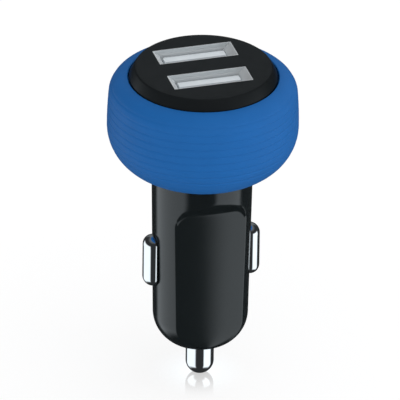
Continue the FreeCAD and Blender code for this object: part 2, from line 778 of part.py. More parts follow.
def add_port_board():
    """Port board: a disc on the bowl's ledge, pierced for legs, blades and board tabs."""
    body = new_body("port_board")
    disc = new_sketch(body, "disc_section", "XY_Plane", "board_seat")
    circle(disc, f"{BOWL_INNER} - slip")
    extrude(body, "disc", disc, "board_thick")
    holes = new_sketch(body, "hole_sections", "XY_Plane", BOARD_TOP)
    for half in (-1, 1):
        rectangle(holes, "board_tab_width + 2 * slip", "board_thick + 2 * slip",
                  (f"{half} * board_tab_spacing / 2", "0"))
    for side in (-1, 1):
        row = f"port_shift + {side} * port_pitch / 2"
        for half in (-1, 1):
            rectangle(holes, "shell_wall + 2 * slip", "leg_width + 2 * slip",
                      (leg_middle(half), row))
        for number in (1, 2, 3, 4):
            rectangle(holes, "blade_width + slip", "blade_thick + slip",
                      (blade_middle(number), f"{row} + {TONGUE_FACE} + blade_thick / 2"))
    cut(body, "holes", holes, f"board_thick + {OVERCUT}")


def add_main_board():
    """Main board: upright, in the barrel's rails, narrow between the side contacts."""
    body = new_body("main_board")
    outline = new_sketch(body, "board_outline", "XZ_Plane")
    right_side = [
        (BOARD_NECK, BOARD_FOOT),
        (BOARD_NECK, BOARD_SHOULDER),
        (BOARD_HALF, BOARD_SHOULDER),
        (BOARD_HALF, "board_seat"),
        ("(board_tab_spacing + board_tab_width) / 2", "board_seat"),
        ("(board_tab_spacing + board_tab_width) / 2", BOARD_TOP),
        ("(board_tab_spacing - board_tab_width) / 2", BOARD_TOP),
        ("(board_tab_spacing - board_tab_width) / 2", "board_seat"),
    ]
    left_side = [(f"0 - {across}", up) for across, up in reversed(right_side)]
    draw(outline, right_side + left_side)
    extrude(body, "board", outline, "board_thick", both=True)


def add_can(label, across, foot):
    """Capacitor can on the front of the main board, with a beaded waist near its foot."""
    body = new_body(label)
    profile = new_sketch(body, "can_profile", "XZ_Plane")
    bead = f"{CAN_RADIUS} / 10"
    corners = [
        ("0", foot),
        (CAN_RADIUS, foot),
        (CAN_RADIUS, f"{foot} + 3 * {bead}"),
        (f"{CAN_RADIUS} - {bead}", f"{foot} + 5 * {bead}"),
        (CAN_RADIUS, f"{foot} + 7 * {bead}"),
        (CAN_RADIUS, f"{foot} + {CAN_LENGTH}"),
        ("0", f"{foot} + {CAN_LENGTH}"),
    ]
    draw(profile, corners)
    revolve(body, "can", profile)
    back = f"0 - {BOARD_FACE} - slip / 2 - {CAN_RADIUS}"
    body.Placement = Placement(Vector(amount(across), amount(back), 0), Rotation())
    bind(body, "Placement.Base.x", across)
    bind(body, "Placement.Base.y", back)


def add_choke():
    """Choke: a drum core with its winding, on the back of the main board."""
    body = new_body("choke")
    profile = new_sketch(body, "drum_profile", "XY_Plane")
    winding = "(choke_waist + choke_radius) / 2"
    corners = [
        ("0", BOARD_FACE),
        ("choke_radius", BOARD_FACE),
        ("choke_radius", f"{BOARD_FACE} + choke_flange"),
        (winding, f"{BOARD_FACE} + choke_flange"),
        (winding, f"{CHOKE_TOP} - choke_flange"),
        ("choke_radius", f"{CHOKE_TOP} - choke_flange"),
        ("choke_radius", CHOKE_TOP),
        ("0", CHOKE_TOP),
    ]
    draw(profile, corners)
    revolve(body, "drum", profile)
    height = f"{BOARD_FOOT} + choke_lift"
    body.Placement = Placement(Vector(0, 0, amount(height)), Rotation())
    bind(body, "Placement.Base.z", height)


def add_chip():
    """Converter chip: a flat block with four leads on each long side."""
    body = new_body("converter_chip")
    case = new_sketch(body, "case_section", "XZ_Plane", f"{BOARD_FACE} + chip_lead_thick")
    middle = f"{BOARD_FOOT} + chip_lift"
    rectangle(case, "chip_width", "chip_length", ("0", middle))
    extrude(body, "case", case, "chip_thick - chip_lead_thick")
    leads = new_sketch(body, "lead_sections", "XZ_Plane", BOARD_FACE)
    for side in (-1, 1):
        for step in (-1.5, -0.5, 0.5, 1.5):
            rectangle(leads, "2 * chip_lead_reach", "chip_lead_width",
                      (f"{side} * chip_width / 2", f"{middle} + {step} * chip_lead_pitch"))
    extrude(body, "leads", leads, "chip_lead_thick")


def add_block(label, length, width, thick, lift):
    """Small rectangular part on the back of the main board."""
    body = new_body(label)
    face = f"0 - {BOARD_FACE}"
    outline = new_sketch(body, "block_section", "XZ_Plane", face)
    rectangle(outline, length, width, ("0", f"{BOARD_FOOT} + {lift}"))
    extrude(body, "block", outline, thick, reverse=True)
    return body


def add_diode():
    """Rectifier diode: moulded block between two bent feet."""
    body = add_block("rectifier_diode", "diode_length", "diode_width", "diode_thick", "diode_lift")
    feet = new_sketch(body, "foot_sections", "XZ_Plane", f"0 - {BOARD_FACE}")
    for side in (-1, 1):
        rectangle(feet, "2 * diode_foot", "diode_width / 2",
                  (f"{side} * diode_length / 2", f"{BOARD_FOOT} + diode_lift"))
    extrude(body, "feet", feet, "diode_thick / 2", reverse=True)


def add_resistors():
    """Row of sense resistors on the front of the main board, as separate blocks."""
    blocks = []
    for number in range(RESISTORS):
        across = f"({number} - ({RESISTORS} - 1) / 2) * resistor_pitch"
        block = doc.addObject("Part::Box", f"resistor_{number + 1}")
        bind(block, "Length", "resistor_width")
        bind(block, "Width", "resistor_thick")
        bind(block, "Height", "resistor_length")
        bind(block, "Placement.Base.x", f"{across} - resistor_width / 2")
        bind(block, "Placement.Base.y", f"0 - {BOARD_FACE} - resistor_thick")
        bind(block, "Placement.Base.z", f"{BOARD_FOOT} + resistor_lift - resistor_length / 2")
        blocks.append(block)
    row = doc.addObject("Part::Compound", "sense_resistors")
    row.Label = "sense_resistors"
    row.Links = blocks
    doc.recompute()
    pieces.append(row)


def build():
    """Model every piece in its place."""
    fill_sheet()
    add_grip_ring()
    add_barrel()
    add_face_plate()
    add_tip_contact()
    add_tip_spring()
    add_tip_terminal()
    add_side_contact("ground_contact_right", 0)
    add_side_contact("ground_contact_left", 180)
    for name, side in (("front", -1), ("rear", 1)):
        add_usb_shell(f"usb_shell_{name}", side)
        add_usb_insulator(f"usb_insulator_{name}", side)
        for number in (1, 2, 3, 4):
            add_usb_blade(f"usb_blade_{name}_{number}", side, number)
    add_port_board()
    add_main_board()
    add_can("input_capacitor", "0", CAN_FOOT)
    add_can("output_capacitor", f"{CAVITY_RADIUS} - {CAN_RADIUS} - output_can_room",
            f"{CAN_FOOT} + {CAN_LENGTH} + can_spacing")
    add_choke()
    add_chip()
    add_diode()
    add_block("fuse", "fuse_length", "fuse_width", "fuse_thick", "fuse_lift")
    add_resistors()
    doc.recompute()


def check():
    """Stop if an object failed or a piece has no sound shape."""
    failed = [entry.Name for entry in doc.Objects
              if "Invalid" in entry.State or "Error" in entry.State]
    if failed:
        raise ValueError(f"failed objects: {failed}")
    for piece in pieces:
        if piece.Shape.isNull() or not piece.Shape.isValid() or piece.Shape.Volume <= 0:
            raise ValueError(f"{piece.Label} has no sound shape")


def export():
    """Write each piece to its own file."""
    os.makedirs("parts", exist_ok=True)
    for piece in pieces:
        piece.Shape.exportStep(f"parts/{piece.Label}.step")
        solids = len(piece.Shape.Solids)
        print(f"{piece.Label}: {solids} solid, {piece.Shape.Volume:.2f} mm3")


build()
check()
export()
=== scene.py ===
import json
import logging
import math
from collections.abc import Callable
from dataclasses import dataclass, field
from enum import Enum

import bmesh
import bpy
from mathutils import Matrix, Vector

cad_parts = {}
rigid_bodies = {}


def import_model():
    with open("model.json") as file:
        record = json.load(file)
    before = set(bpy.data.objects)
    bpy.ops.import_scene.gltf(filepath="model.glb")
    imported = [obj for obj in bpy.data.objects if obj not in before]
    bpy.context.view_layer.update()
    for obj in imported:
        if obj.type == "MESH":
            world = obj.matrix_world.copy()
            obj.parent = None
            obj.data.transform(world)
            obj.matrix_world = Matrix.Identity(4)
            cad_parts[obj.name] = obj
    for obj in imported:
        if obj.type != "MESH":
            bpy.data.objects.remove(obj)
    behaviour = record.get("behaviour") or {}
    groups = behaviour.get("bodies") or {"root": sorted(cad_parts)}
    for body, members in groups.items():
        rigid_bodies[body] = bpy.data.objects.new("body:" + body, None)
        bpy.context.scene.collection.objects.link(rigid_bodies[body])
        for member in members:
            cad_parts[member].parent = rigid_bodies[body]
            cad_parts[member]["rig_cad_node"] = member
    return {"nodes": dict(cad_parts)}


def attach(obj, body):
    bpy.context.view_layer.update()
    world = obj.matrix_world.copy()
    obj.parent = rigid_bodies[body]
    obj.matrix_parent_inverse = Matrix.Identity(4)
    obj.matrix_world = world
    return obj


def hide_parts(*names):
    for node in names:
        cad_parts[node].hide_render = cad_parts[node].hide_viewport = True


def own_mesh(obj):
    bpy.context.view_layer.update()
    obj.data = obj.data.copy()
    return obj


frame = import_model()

# Two-port USB charger for a vehicle socket. Sizes are in millimetres until a mesh
# is made; heights are measured from the lower lip of the grip ring, as in the solids.

log = logging.getLogger("car_charger")

MM = 0.001
MERGE_DISTANCE = 1e-4
Point = tuple[float, float]
Place = tuple[float, float, float]
Colour = tuple[float, float, float, float]
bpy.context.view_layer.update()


class Row(Enum):
    """Which of the two ports, as the sign of its place along Y."""

    FRONT = -1
    REAR = 1


class Operation(Enum):
    """What a tool does to a shape."""

    CUT = "DIFFERENCE"
    FUSE = "UNION"


class Hand(Enum):
    """Side of the plug, as the sign of its place along X."""

    LEFT = -1
    RIGHT = 1


def opaque(red: float, green: float, blue: float) -> Colour:
    """Give a linear colour its alpha of one."""
    return (red, green, blue, 1.0)


def scaled(colour: Colour, factor: float) -> Colour:
    """Make a colour lighter or darker by a factor."""
    return opaque(*(channel * factor for channel in colour[:3]))


WHITE = opaque(1.0, 1.0, 1.0)
TIN = opaque(0.68, 0.68, 0.7)


def operator(operation: str, swapped: bool = False) -> "Callable[[Value, object], Value]":
    """Make an operator for shader values.

    Args:
        operation: the Math node's operation.
        swapped: whether the other number comes first, as in a reflected operator.

    Returns:
        A method that adds one Math node and gives its result.
    """
    def method(value: "Value", other: object = 0.0) -> "Value":
        """Add the node and wrap its result.

        Args:
            value: the number that the operator belongs to.
            other: the other number, plain or a Value.

        Returns:
            The result.
        """
        first, second = (other, value) if swapped else (value, other)
        node = value.shader.node("ShaderNodeMath", {"operation": operation}, {0: first, 1: second})
        return Value(value.shader, node.outputs[0])
    return method


class Value:
    """A number on a shader socket, which takes part in Python arithmetic."""

    def __init__(self, shader: "Shader", socket: bpy.types.NodeSocket) -> None:
        """Wrap an output socket of a shader."""
        self.shader = shader
        self.socket = socket

    __add__ = __radd__ = operator("ADD")
    __mul__ = __rmul__ = operator("MULTIPLY")
    __sub__, __rsub__ = operator("SUBTRACT"), operator("SUBTRACT", swapped=True)
    __truediv__, __rtruediv__ = operator("DIVIDE"), operator("DIVIDE", swapped=True)
    __gt__, __lt__ = operator("GREATER_THAN"), operator("LESS_THAN")
    __abs__ = operator("ABSOLUTE")
    root = operator("SQRT")
    folded = operator("PINGPONG")

    def eased(self, low: float, high: float) -> "Value":
        """Smooth step.

        Args:
            low: the value at which the step starts.
            high: the value at which it ends.

        Returns:
            Zero below low and one above high, with a smooth run between them.
        """
        node = self.shader.node("ShaderNodeMapRange", {"interpolation_type": "SMOOTHSTEP"},
                                {"Value": self, "From Min": low, "From Max": high})
        return Value(self.shader, node.outputs[0])


class Shader:
    """The node tree of one material, or of the world."""

    def __init__(self, owner: bpy.types.Material | bpy.types.World) -> None:
        """Empty the owner's node tree, ready for new nodes."""
        owner.use_nodes = True
        self.tree = owner.node_tree
        self.tree.nodes.clear()

    def node(self, kind: str, settings: dict[str, object] | None = None,
             inputs: dict[str | int, object] | None = None) -> bpy.types.Node:
        """Add a node.

        Args:
            kind: the node's type.
            settings: its properties, set first.
            inputs: a value, a socket or a Value for each input socket, by name or number.

        Returns:
            The new node.
        """
        made = self.tree.nodes.new(kind)
        for name, setting in (settings or {}).items():
            setattr(made, name, setting)
        for key, entry in (inputs or {}).items():
            source = entry.socket if isinstance(entry, Value) else entry
            if isinstance(source, bpy.types.NodeSocket):
                self.tree.links.new(source, made.inputs[key])
            else:
                made.inputs[key].default_value = source
        return made

    def axes(self, source: bpy.types.NodeSocket) -> tuple[Value, Value, Value]:
        """Split a vector socket into its three numbers."""
        split = self.node("ShaderNodeSeparateXYZ", None, {0: source})
        return tuple(Value(self, socket) for socket in split.outputs)

    def place(self) -> bpy.types.NodeSocket:
        """Point on the piece in the row frame, in metres."""
        return self.node("ShaderNodeTexCoord").outputs["Object"]

    def facing(self) -> bpy.types.NodeSocket:
        """Direction in which the surface faces."""
        return self.node("ShaderNodeNewGeometry").outputs["Normal"]

    def ray(self, kind: str) -> Value:
        """One for rays of a kind, else zero."""
        return Value(self, self.node("ShaderNodeLightPath").outputs[f"Is {kind} Ray"])

    def noise(self, size: float, detail: float = 2.0, stretch: Place = (1, 1, 1)) -> Value:
        """Noise fixed to the piece.

        Args:
            size: the size of its features, in millimetres.
            detail: how many finer octaves it has.
            stretch: factors that make the features longer along X, Y and Z.

        Returns:
            The noise, from 0 to 1 about 0.5.
        """
        scale = tuple(1.0 / (size * MM * factor) for factor in stretch)
        place = self.node("ShaderNodeMapping", None, {"Vector": self.place(), "Scale": scale})
        noise = self.node("ShaderNodeTexNoise", None,
                          {"Vector": place.outputs[0], "Scale": 1.0, "Detail": detail})
        return Value(self, noise.outputs["Fac"])

    def mix(self, factor: object, low: object, high: object) -> bpy.types.NodeSocket:
        """Mix two colours.

        Args:
            factor: the share of the second colour.
            low: the first colour, or a colour socket.
            high: the second colour, or a colour socket.

        Returns:
            The mixed colour's socket.
        """
        node = self.node("ShaderNodeMix", {"data_type": "RGBA"}, {0: factor, 6: low, 7: high})
        return node.outputs[2]

    def bump(self, height: Value, depth: float) -> bpy.types.NodeSocket:
        """Relief from a height.

        Args:
            height: the relief, from 0 to 1.
            depth: its depth in millimetres.

        Returns:
            The normal's socket.
        """
        node = self.node("ShaderNodeBump", None, {"Height": height, "Distance": depth * MM})
        return node.outputs[0]

    def surface(self, inputs: dict[str, object]) -> None:
        """Finish the tree with one Principled shader, given a value or link for each socket."""
        principled = self.node("ShaderNodeBsdfPrincipled", None, inputs)
        self.node("ShaderNodeOutputMaterial", None, {"Surface": principled.outputs[0]})


@dataclass(frozen=True)
class Finish:
    """A finish that goes on pieces; each kind paints its own nodes."""

    slot: str

    def paint(self, shader: Shader) -> None:
        """Fill the shader's tree; each kind of finish has its own."""
        raise NotImplementedError(self.slot)

    def material(self) -> bpy.types.Material:
        """Make the finish's material, or find the one already made.

        Returns:
            The material.
        """
        found = bpy.data.materials.get(f"finish_{self.slot}")
        if found:
            return found
        made = bpy.data.materials.new(f"finish_{self.slot}")
        self.paint(Shader(made))
        return made

    def put_on(self, piece: bpy.types.Object) -> None:
        """Dress a piece in this finish.

        Args:
            piece: the piece, which drops its earlier materials.
        """
        piece.data.materials.clear()
        piece.data.materials.append(self.material())


@dataclass(frozen=True)
class MouldedPlastic(Finish):
    """Moulded plastic with a faint cloud in its colour and a fine eroded grain."""

    colour: Colour
    cloud: float
    roughness: float
    roughness_spread: float
    grain_size: float
    grain_depth: float
    specular: float = 0.5
    cloud_size: float = 5.0
    smear_size: float = 2.2

    def paint(self, shader: Shader) -> None:
        """Cloud the colour and the gloss, and raise the grain.

        Args:
            shader: the empty tree that it fills.
        """
        smear = shader.noise(self.smear_size, 3.0)
        shader.surface({
            "Base Color": shader.mix(shader.noise(self.cloud_size), scaled(self.colour, 1 - self.cloud),
                                     scaled(self.colour, 1 + self.cloud)),
            "Roughness": self.roughness + (smear - 0.5) * self.roughness_spread,
            "Normal": shader.bump(shader.noise(self.grain_size, 1.0), self.grain_depth),
            "Specular IOR Level": self.specular,
        })


@dataclass(frozen=True)
class PlatedMetal(Finish):
    """Plated or rolled metal with fine lines left by drawing or turning."""

    colour: Colour
    roughness: float
    roughness_spread: float
    dimming: float = 0.9
    smear_size: float = 1.6
    line_size: float = 0.05
    line_stretch: Place = (1.0, 1.0, 30.0)
    line_depth: float = 0.001

    def paint(self, shader: Shader) -> None:
        """Lay drawing lines over bright metal.

        Args:
            shader: the empty tree that it fills.
        """
        smear = shader.noise(self.smear_size, 3.0)
        lines = shader.noise(self.line_size, 2.0, self.line_stretch)
        shader.surface({
            "Base Color": shader.mix(smear, scaled(self.colour, self.dimming), self.colour),
            "Metallic": 1.0,
            "Roughness": self.roughness + (smear - 0.5) * self.roughness_spread,
            "Normal": shader.bump(lines, self.line_depth),
        })


@dataclass(frozen=True)
class StampedSteel(Finish):
    """Plated sheet steel; the long lips of the mouth are rougher and more metallic than the walls, and
    their lighter colour is a painted highlight.
    """

    colour: Colour = opaque(0.76, 0.79, 0.81)
    # lighter colour of the long lips: a painted highlight
    lip: Colour = opaque(0.84, 0.88, 0.90)
    lip_bottom: float = 20.37
    lip_facing: Point = (0.6, 0.8)
    roughness: float = 0.3
    roughness_spread: float = 0.1
    lip_roughness: float = 0.5
    metal: float = 0.42
    lip_metal: float = 0.72
    smear_size: float = 1.4
    smear_stretch: Place = (4.0, 4.0, 1.0)
    line_size: float = 0.06
    line_stretch: Place = (30.0, 30.0, 1.0)
    line_depth: float = 0.001

    def paint(self, shader: Shader) -> None:
        """Part the lips from the walls by depth and by which way they face; the lips' lighter colour
        paints a highlight on them.

        Args:
            shader: the empty tree that it fills.
        """
        _, _, height = shader.axes(shader.place())
        _, facing, _ = shader.axes(shader.facing())
        # mask of the long lips, where the lighter colour paints a highlight
        lip_highlight = abs(facing).eased(*self.lip_facing) * (height > self.lip_bottom * MM)
        smear = shader.noise(self.smear_size, 3.0, self.smear_stretch) - 0.5
        lines = shader.noise(self.line_size, 2.0, self.line_stretch)
        shader.surface({
            "Base Color": shader.mix(lip_highlight, self.colour, self.lip),
            "Metallic": self.metal + lip_highlight * (self.lip_metal - self.metal),
            "Roughness": (self.roughness + lip_highlight * (self.lip_roughness - self.roughness)
                          + smear * self.roughness_spread),
            "Normal": shader.bump(lines, self.line_depth),
        })


@dataclass(frozen=True)
class Marked(Finish):
    """Finish in two parts that a mask tells apart; each pair is the ground's, then the mark's."""

    colours: tuple[Colour, Colour]
    roughness: Point
    metal: Point = (0.0, 0.0)
    relief: float = 0.006

    def parts(self, shader: Shader) -> tuple[Value, Value]:
        """Mask of the marks and height of the relief; each kind of finish has its own."""
        raise NotImplementedError(self.slot)

    def paint(self, shader: Shader) -> None:
        """Mix the two parts by the mask, and raise the relief.

        Args:
            shader: the empty tree that it fills.
        """
        mask, height = self.parts(shader)
        ground, mark = self.roughness
        inputs = {
            "Base Color": shader.mix(mask, *self.colours),
            "Roughness": ground + mask * (mark - ground),
            "Normal": shader.bump(height, self.relief),
        }
        if self.metal[1]:
            inputs["Metallic"] = mask * self.metal[1]
        shader.surface(inputs)


@dataclass(frozen=True)
class BoardLaminate(Marked):
    """Circuit board: green resist over copper tracks, which run aslant in broken rows."""

    pitch: float = 1.1
    gap_share: float = 0.55
    slant: float = 0.35
    break_size: float = 3.0

    def parts(self, shader: Shader) -> tuple[Value, Value]:
        """Draw tracks as rows that noise breaks up.

        Args:
            shader: the tree that gets the nodes.

        Returns:
            Mask of the marks, and height of the relief.
        """
        across, _, along = shader.axes(shader.place())
        row = (across + along * self.slant).folded(self.pitch * MM) > self.gap_share * self.pitch * MM
        copper = row * (shader.noise(self.break_size, 0.0) > 0.5)
        return copper, copper


@dataclass(frozen=True)
class WoundFerrite(Marked):
    """Drum choke: grey ferrite flanges about a winding of lacquered copper."""

    winding: Point = (1.3, 3.3)
    half_wire: float = 0.125

    def parts(self, shader: Shader) -> tuple[Value, Value]:
        """Show the wire's turns between the flanges.

        Args:
            shader: the tree that gets the nodes.

        Returns:
            Mask of the marks, and height of the relief.
        """
        _, depth, _ = shader.axes(shader.place())
        low, high = self.winding
        wound = (depth > low * MM) * (depth < high * MM)
        return wound, depth.folded(self.half_wire * MM) / (self.half_wire * MM) * wound


@dataclass(frozen=True)
class CappedBody(Marked):
    """Moulded or ceramic part whose ends are tinned, past a distance along X."""

    cap_from: float = 1.2
    grain_size: float = 0.15

    def parts(self, shader: Shader) -> tuple[Value, Value]:
        """Tin what lies further out than the caps' inner edge."""
        across, _, _ = shader.axes(shader.place())
        return abs(across) > self.cap_from * MM, shader.noise(self.grain_size)


@dataclass(frozen=True)
class CapacitorSleeve(Finish):
    """Shrunk sleeve with a pale stripe, and the bare aluminium of the can's top."""

    sleeve: Colour = opaque(0.012, 0.02, 0.07)
    stripe: Colour = opaque(0.45, 0.47, 0.5)
    metal: Colour = opaque(0.75, 0.76, 0.77)
    end_facing: Point = (0.9, 0.98)
    stripe_facing: Point = (0.80, 0.84)
    roughness: float = 0.3
    end_roughness: float = 0.4
    wrinkle_size: float = 0.6
    wrinkle_depth: float = 0.01

    def paint(self, shader: Shader) -> None:
        """Part the can's flat ends from its sleeve by their normals.

        Args:
            shader: the empty tree that it fills.
        """
        across, _, up = shader.axes(shader.facing())
        end = abs(up).eased(*self.end_facing)
        cover = shader.mix(across.eased(*self.stripe_facing), self.sleeve, self.stripe)
        shader.surface({
            "Base Color": shader.mix(end, cover, self.metal),
            "Metallic": end,
            "Roughness": self.roughness + end * (self.end_roughness - self.roughness),
            "Normal": shader.bump(shader.noise(self.wrinkle_size), self.wrinkle_depth),
        })


@dataclass(frozen=True)
class Finishes:
    """Every finish on the charger, by what it covers."""

    ring: Finish = MouldedPlastic(
        "blue_soft_plastic", opaque(0.0075, 0.126, 0.415), cloud=0.05, roughness=0.54,
        roughness_spread=0.08, grain_size=0.10, grain_depth=0.004, specular=0.18)
    plate: Finish = MouldedPlastic(
        "black_satin_plastic", opaque(0.0085, 0.0110, 0.0125), cloud=0.08, roughness=0.36,
        roughness_spread=0.10, grain_size=0.09, grain_depth=0.003, specular=0.28)
    barrel: Finish = MouldedPlastic(
        "black_gloss_plastic", opaque(0.0080, 0.0110, 0.0120), cloud=0.08, roughness=0.15,
        roughness_spread=0.05, grain_size=0.35, grain_depth=0.0006)
    tongue: Finish = MouldedPlastic(
        "port_white_plastic", opaque(0.76, 0.82, 0.86), cloud=0.12, roughness=0.35,
        roughness_spread=0.1, grain_size=0.5, grain_depth=0.02)
    nickel: Finish = PlatedMetal("bright_nickel", opaque(0.90, 0.91, 0.92), 0.05, 0.03)
    spring: Finish = PlatedMetal("spring_steel", opaque(0.55, 0.55, 0.56), 0.3, 0.1)
    brass: Finish = PlatedMetal("terminal_brass", opaque(0.72, 0.55, 0.27), 0.3, 0.1)
    gold: Finish = PlatedMetal("blade_gold", opaque(0.83, 0.62, 0.24), 0.22, 0.08)
    port_steel: Finish = StampedSteel("port_steel")
    board: Finish = BoardLaminate(
        "board_laminate", (opaque(0.012, 0.12, 0.05), opaque(0.03, 0.22, 0.08)), (0.32, 0.24),
        relief=0.02)
    sleeve: Finish = CapacitorSleeve("capacitor_sleeve")
    choke: Finish = WoundFerrite(
        "choke_ferrite", (opaque(0.05, 0.05, 0.055), opaque(0.55, 0.2, 0.06)), (0.6, 0.3),
        (0.0, 0.8), 0.08)
    epoxy: Finish = CappedBody(
        "component_black", (opaque(0.02, 0.02, 0.022), TIN), (0.45, 0.3), (0.0, 1.0),
        cap_from=1.98)
    ceramic: Finish = CappedBody(
        "component_white", (opaque(0.75, 0.74, 0.70), TIN), (0.45, 0.3), (0.0, 1.0),
        cap_from=1.25)


def arc(middle: Point, radius: float, start: float, end: float, steps: int) -> list[Point]:
    """Points along an arc.

    Args:
        middle: the arc's centre.
        radius: its radius.
        start: the angle of its first point, in degrees.
        end: the angle of its last point, in degrees.
        steps: how many stretches it is divided into.

    Returns:
        One more point than steps.
    """
    angles = [math.radians(start + (end - start) * step / steps) for step in range(steps + 1)]
    return [(middle[0] + radius * math.cos(a), middle[1] + radius * math.sin(a)) for a in angles]


def rounded_rectangle(half_across: float, half_along: float, corner: float, steps: int) -> list[Point]:
    """Rectangle with rounded corners about the origin.

    Args:
        half_across: half its first size.
        half_along: half its second size.
        corner: radius of its corners.
        steps: stretches in each corner.

    Returns:
        The outline's points, anticlockwise.
    """
    points = []
    for quarter, (first, second) in enumerate(((1, 1), (-1, 1), (-1, -1), (1, -1))):
        middle = (first * (half_across - corner), second * (half_along - corner))
        points += arc(middle, corner, quarter * 90.0, quarter * 90.0 + 90.0, steps)
    return points


def tangent_radius(across: float, along: float) -> float:
    """Radius of an arc that starts along a direction and drifts off it by across."""
    return (across ** 2 + along ** 2) / (2 * across)


def new_piece(name: str, shape: bmesh.types.BMesh, sharp_angle: float) -> bpy.types.Object:
    """Make an object of a finished shape given in millimetres.

    Args:
        name: the piece's name.
        shape: the shape, which is freed.
        sharp_angle: the angle in degrees above which an edge stays sharp.

    Returns:
        The object, in metres, shaded smooth between its sharp edges.
    """
    bmesh.ops.remove_doubles(shape, verts=shape.verts, dist=MERGE_DISTANCE)
    bmesh.ops.triangulate(shape, faces=[face for face in shape.faces if len(face.verts) > 4])
    bmesh.ops.scale(shape, vec=(MM, MM, MM), verts=shape.verts)
    bmesh.ops.recalc_face_normals(shape, faces=shape.faces)
    mesh = bpy.data.meshes.new(name)
    shape.to_mesh(mesh)
    shape.free()
    mesh.shade_smooth()
    mesh.set_sharp_from_angle(angle=math.radians(sharp_angle))
    piece = bpy.data.objects.new(name, mesh)
    bpy.context.scene.collection.objects.link(piece)
    return piece


def finished(shape: bmesh.types.BMesh, node: str, look: str, finish: Finish,
             body: str = "housing", sharp_angle: float = 38.0) -> bpy.types.Object:
    """Make a piece of a shape, dress it, and let it take a solid's place.

    Args:
        shape: the shape in millimetres, which is freed.
        node: the solid that the piece replaces.
        look: the word that its name adds to the node's.
        finish: its finish.
        body: the body that it rides.
        sharp_angle: the angle in degrees above which an edge stays sharp.

    Returns:
        The piece.
    """
    piece = new_piece(f"{node}_{look}", shape, sharp_angle)
    finish.put_on(piece)
    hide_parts(node)
    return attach(piece, body)


def skin(rings: list[list[Vector]], closed: bool) -> bmesh.types.BMesh:
    """Join rings of points into a skin.

    Args:
        rings: rings with the same number of points, each closed on itself.
        closed: whether the last ring joins the first; if not, both ends are capped.

    Returns:
        The skin, in millimetres.
    """
    shape = bmesh.new()
    made = [[shape.verts.new(point) for point in ring] for ring in rings]
    count = len(rings[0])
    pairs = list(zip(made, made[1:] + made[:1])) if closed else list(zip(made, made[1:]))
    for low, high in pairs:
        for number in range(count):
            after = (number + 1) % count
            shape.faces.new((low[number], low[after], high[after], high[number]))
    if not closed:
        shape.faces.new(made[0])
        shape.faces.new(made[-1])
    return shape


def revolved(profile: list[Point], sides: int) -> bmesh.types.BMesh:
    """Turn a closed profile of radius and height round the plug's axis.

    Args:
        profile: radius and height of each point.
        sides: how many steps the turn has.

    Returns:
        The shape, in millimetres.
    """
    turns = [math.tau * number / sides for number in range(sides)]
    rings = [[Vector((radius * math.cos(a), radius * math.sin(a), height)) for a in turns]
             for radius, height in profile]
    return skin(rings, closed=True)


def box_shape(low: Place, high: Place, bevel: float = 0.0) -> bmesh.types.BMesh:
    """Box between two opposite corners, with bevelled edges.

    Args:
        low: one corner.
        high: the opposite corner.
        bevel: width of the bevel, or 0 for none.

    Returns:
        The shape, in millimetres.
    """
    shape = bmesh.new()
    bmesh.ops.create_cube(shape, size=1.0)
    size = Vector(abs(far - near) for near, far in zip(low, high))
    middle = (Vector(high) + Vector(low)) / 2
    for vert in shape.verts:
        vert.co = Vector(part * span for part, span in zip(vert.co, size)) + middle
    if bevel:
        bmesh.ops.bevel(shape, geom=list(shape.edges), offset=bevel, segments=2, profile=0.6,
                        affect="EDGES")
    return shape


def turned(shape: bmesh.types.BMesh, angle: float) -> bmesh.types.BMesh:
    """Turn a shape round the plug's axis by an angle in radians."""
    bmesh.ops.transform(shape, matrix=Matrix.Rotation(angle, 4, "Z"), verts=shape.verts)
    return shape


def combined(shape: bmesh.types.BMesh, operation: Operation,
             *tools: bmesh.types.BMesh) -> bmesh.types.BMesh:
    """Cut tools out of a shape, or fuse them to it.

    Args:
        shape: a closed shape, which is freed.
        operation: cut or fuse.
        tools: closed shapes, which are freed.

    Returns:
        The new shape, in millimetres.
    """
    holders = []
    for part in [shape, *tools]:
        bmesh.ops.recalc_face_normals(part, faces=part.faces)
        mesh = bpy.data.meshes.new("solid")
        part.to_mesh(mesh)
        part.free()
        holders.append(bpy.data.objects.new("solid", mesh))
        bpy.context.scene.collection.objects.link(holders[-1])
    for tool in holders[1:]:
        step = holders[0].modifiers.new("step", "BOOLEAN")
        step.operation = operation.value
        step.solver = "MANIFOLD"
        step.object = tool
    bpy.context.view_layer.update()
    whole = holders[0].evaluated_get(bpy.context.evaluated_depsgraph_get())
    result = bmesh.new()
    result.from_mesh(whole.data)
    for holder in holders:
        bpy.data.meshes.remove(holder.data)
    return result


@dataclass
class Head:
    """Sizes that the ring, the plate and the barrel's bowl share."""

    seam_radius: float = 14.2
    ring_height: float = 19.2
    plate_seat: float = 18.0
    plate_top: float = 21.15
    barrel_radius: float = 9.65
    bowl_radius: float = 13.3
    bowl_inner: float = 12.0
    slip: float = 0.1
    nest: float = 0.15


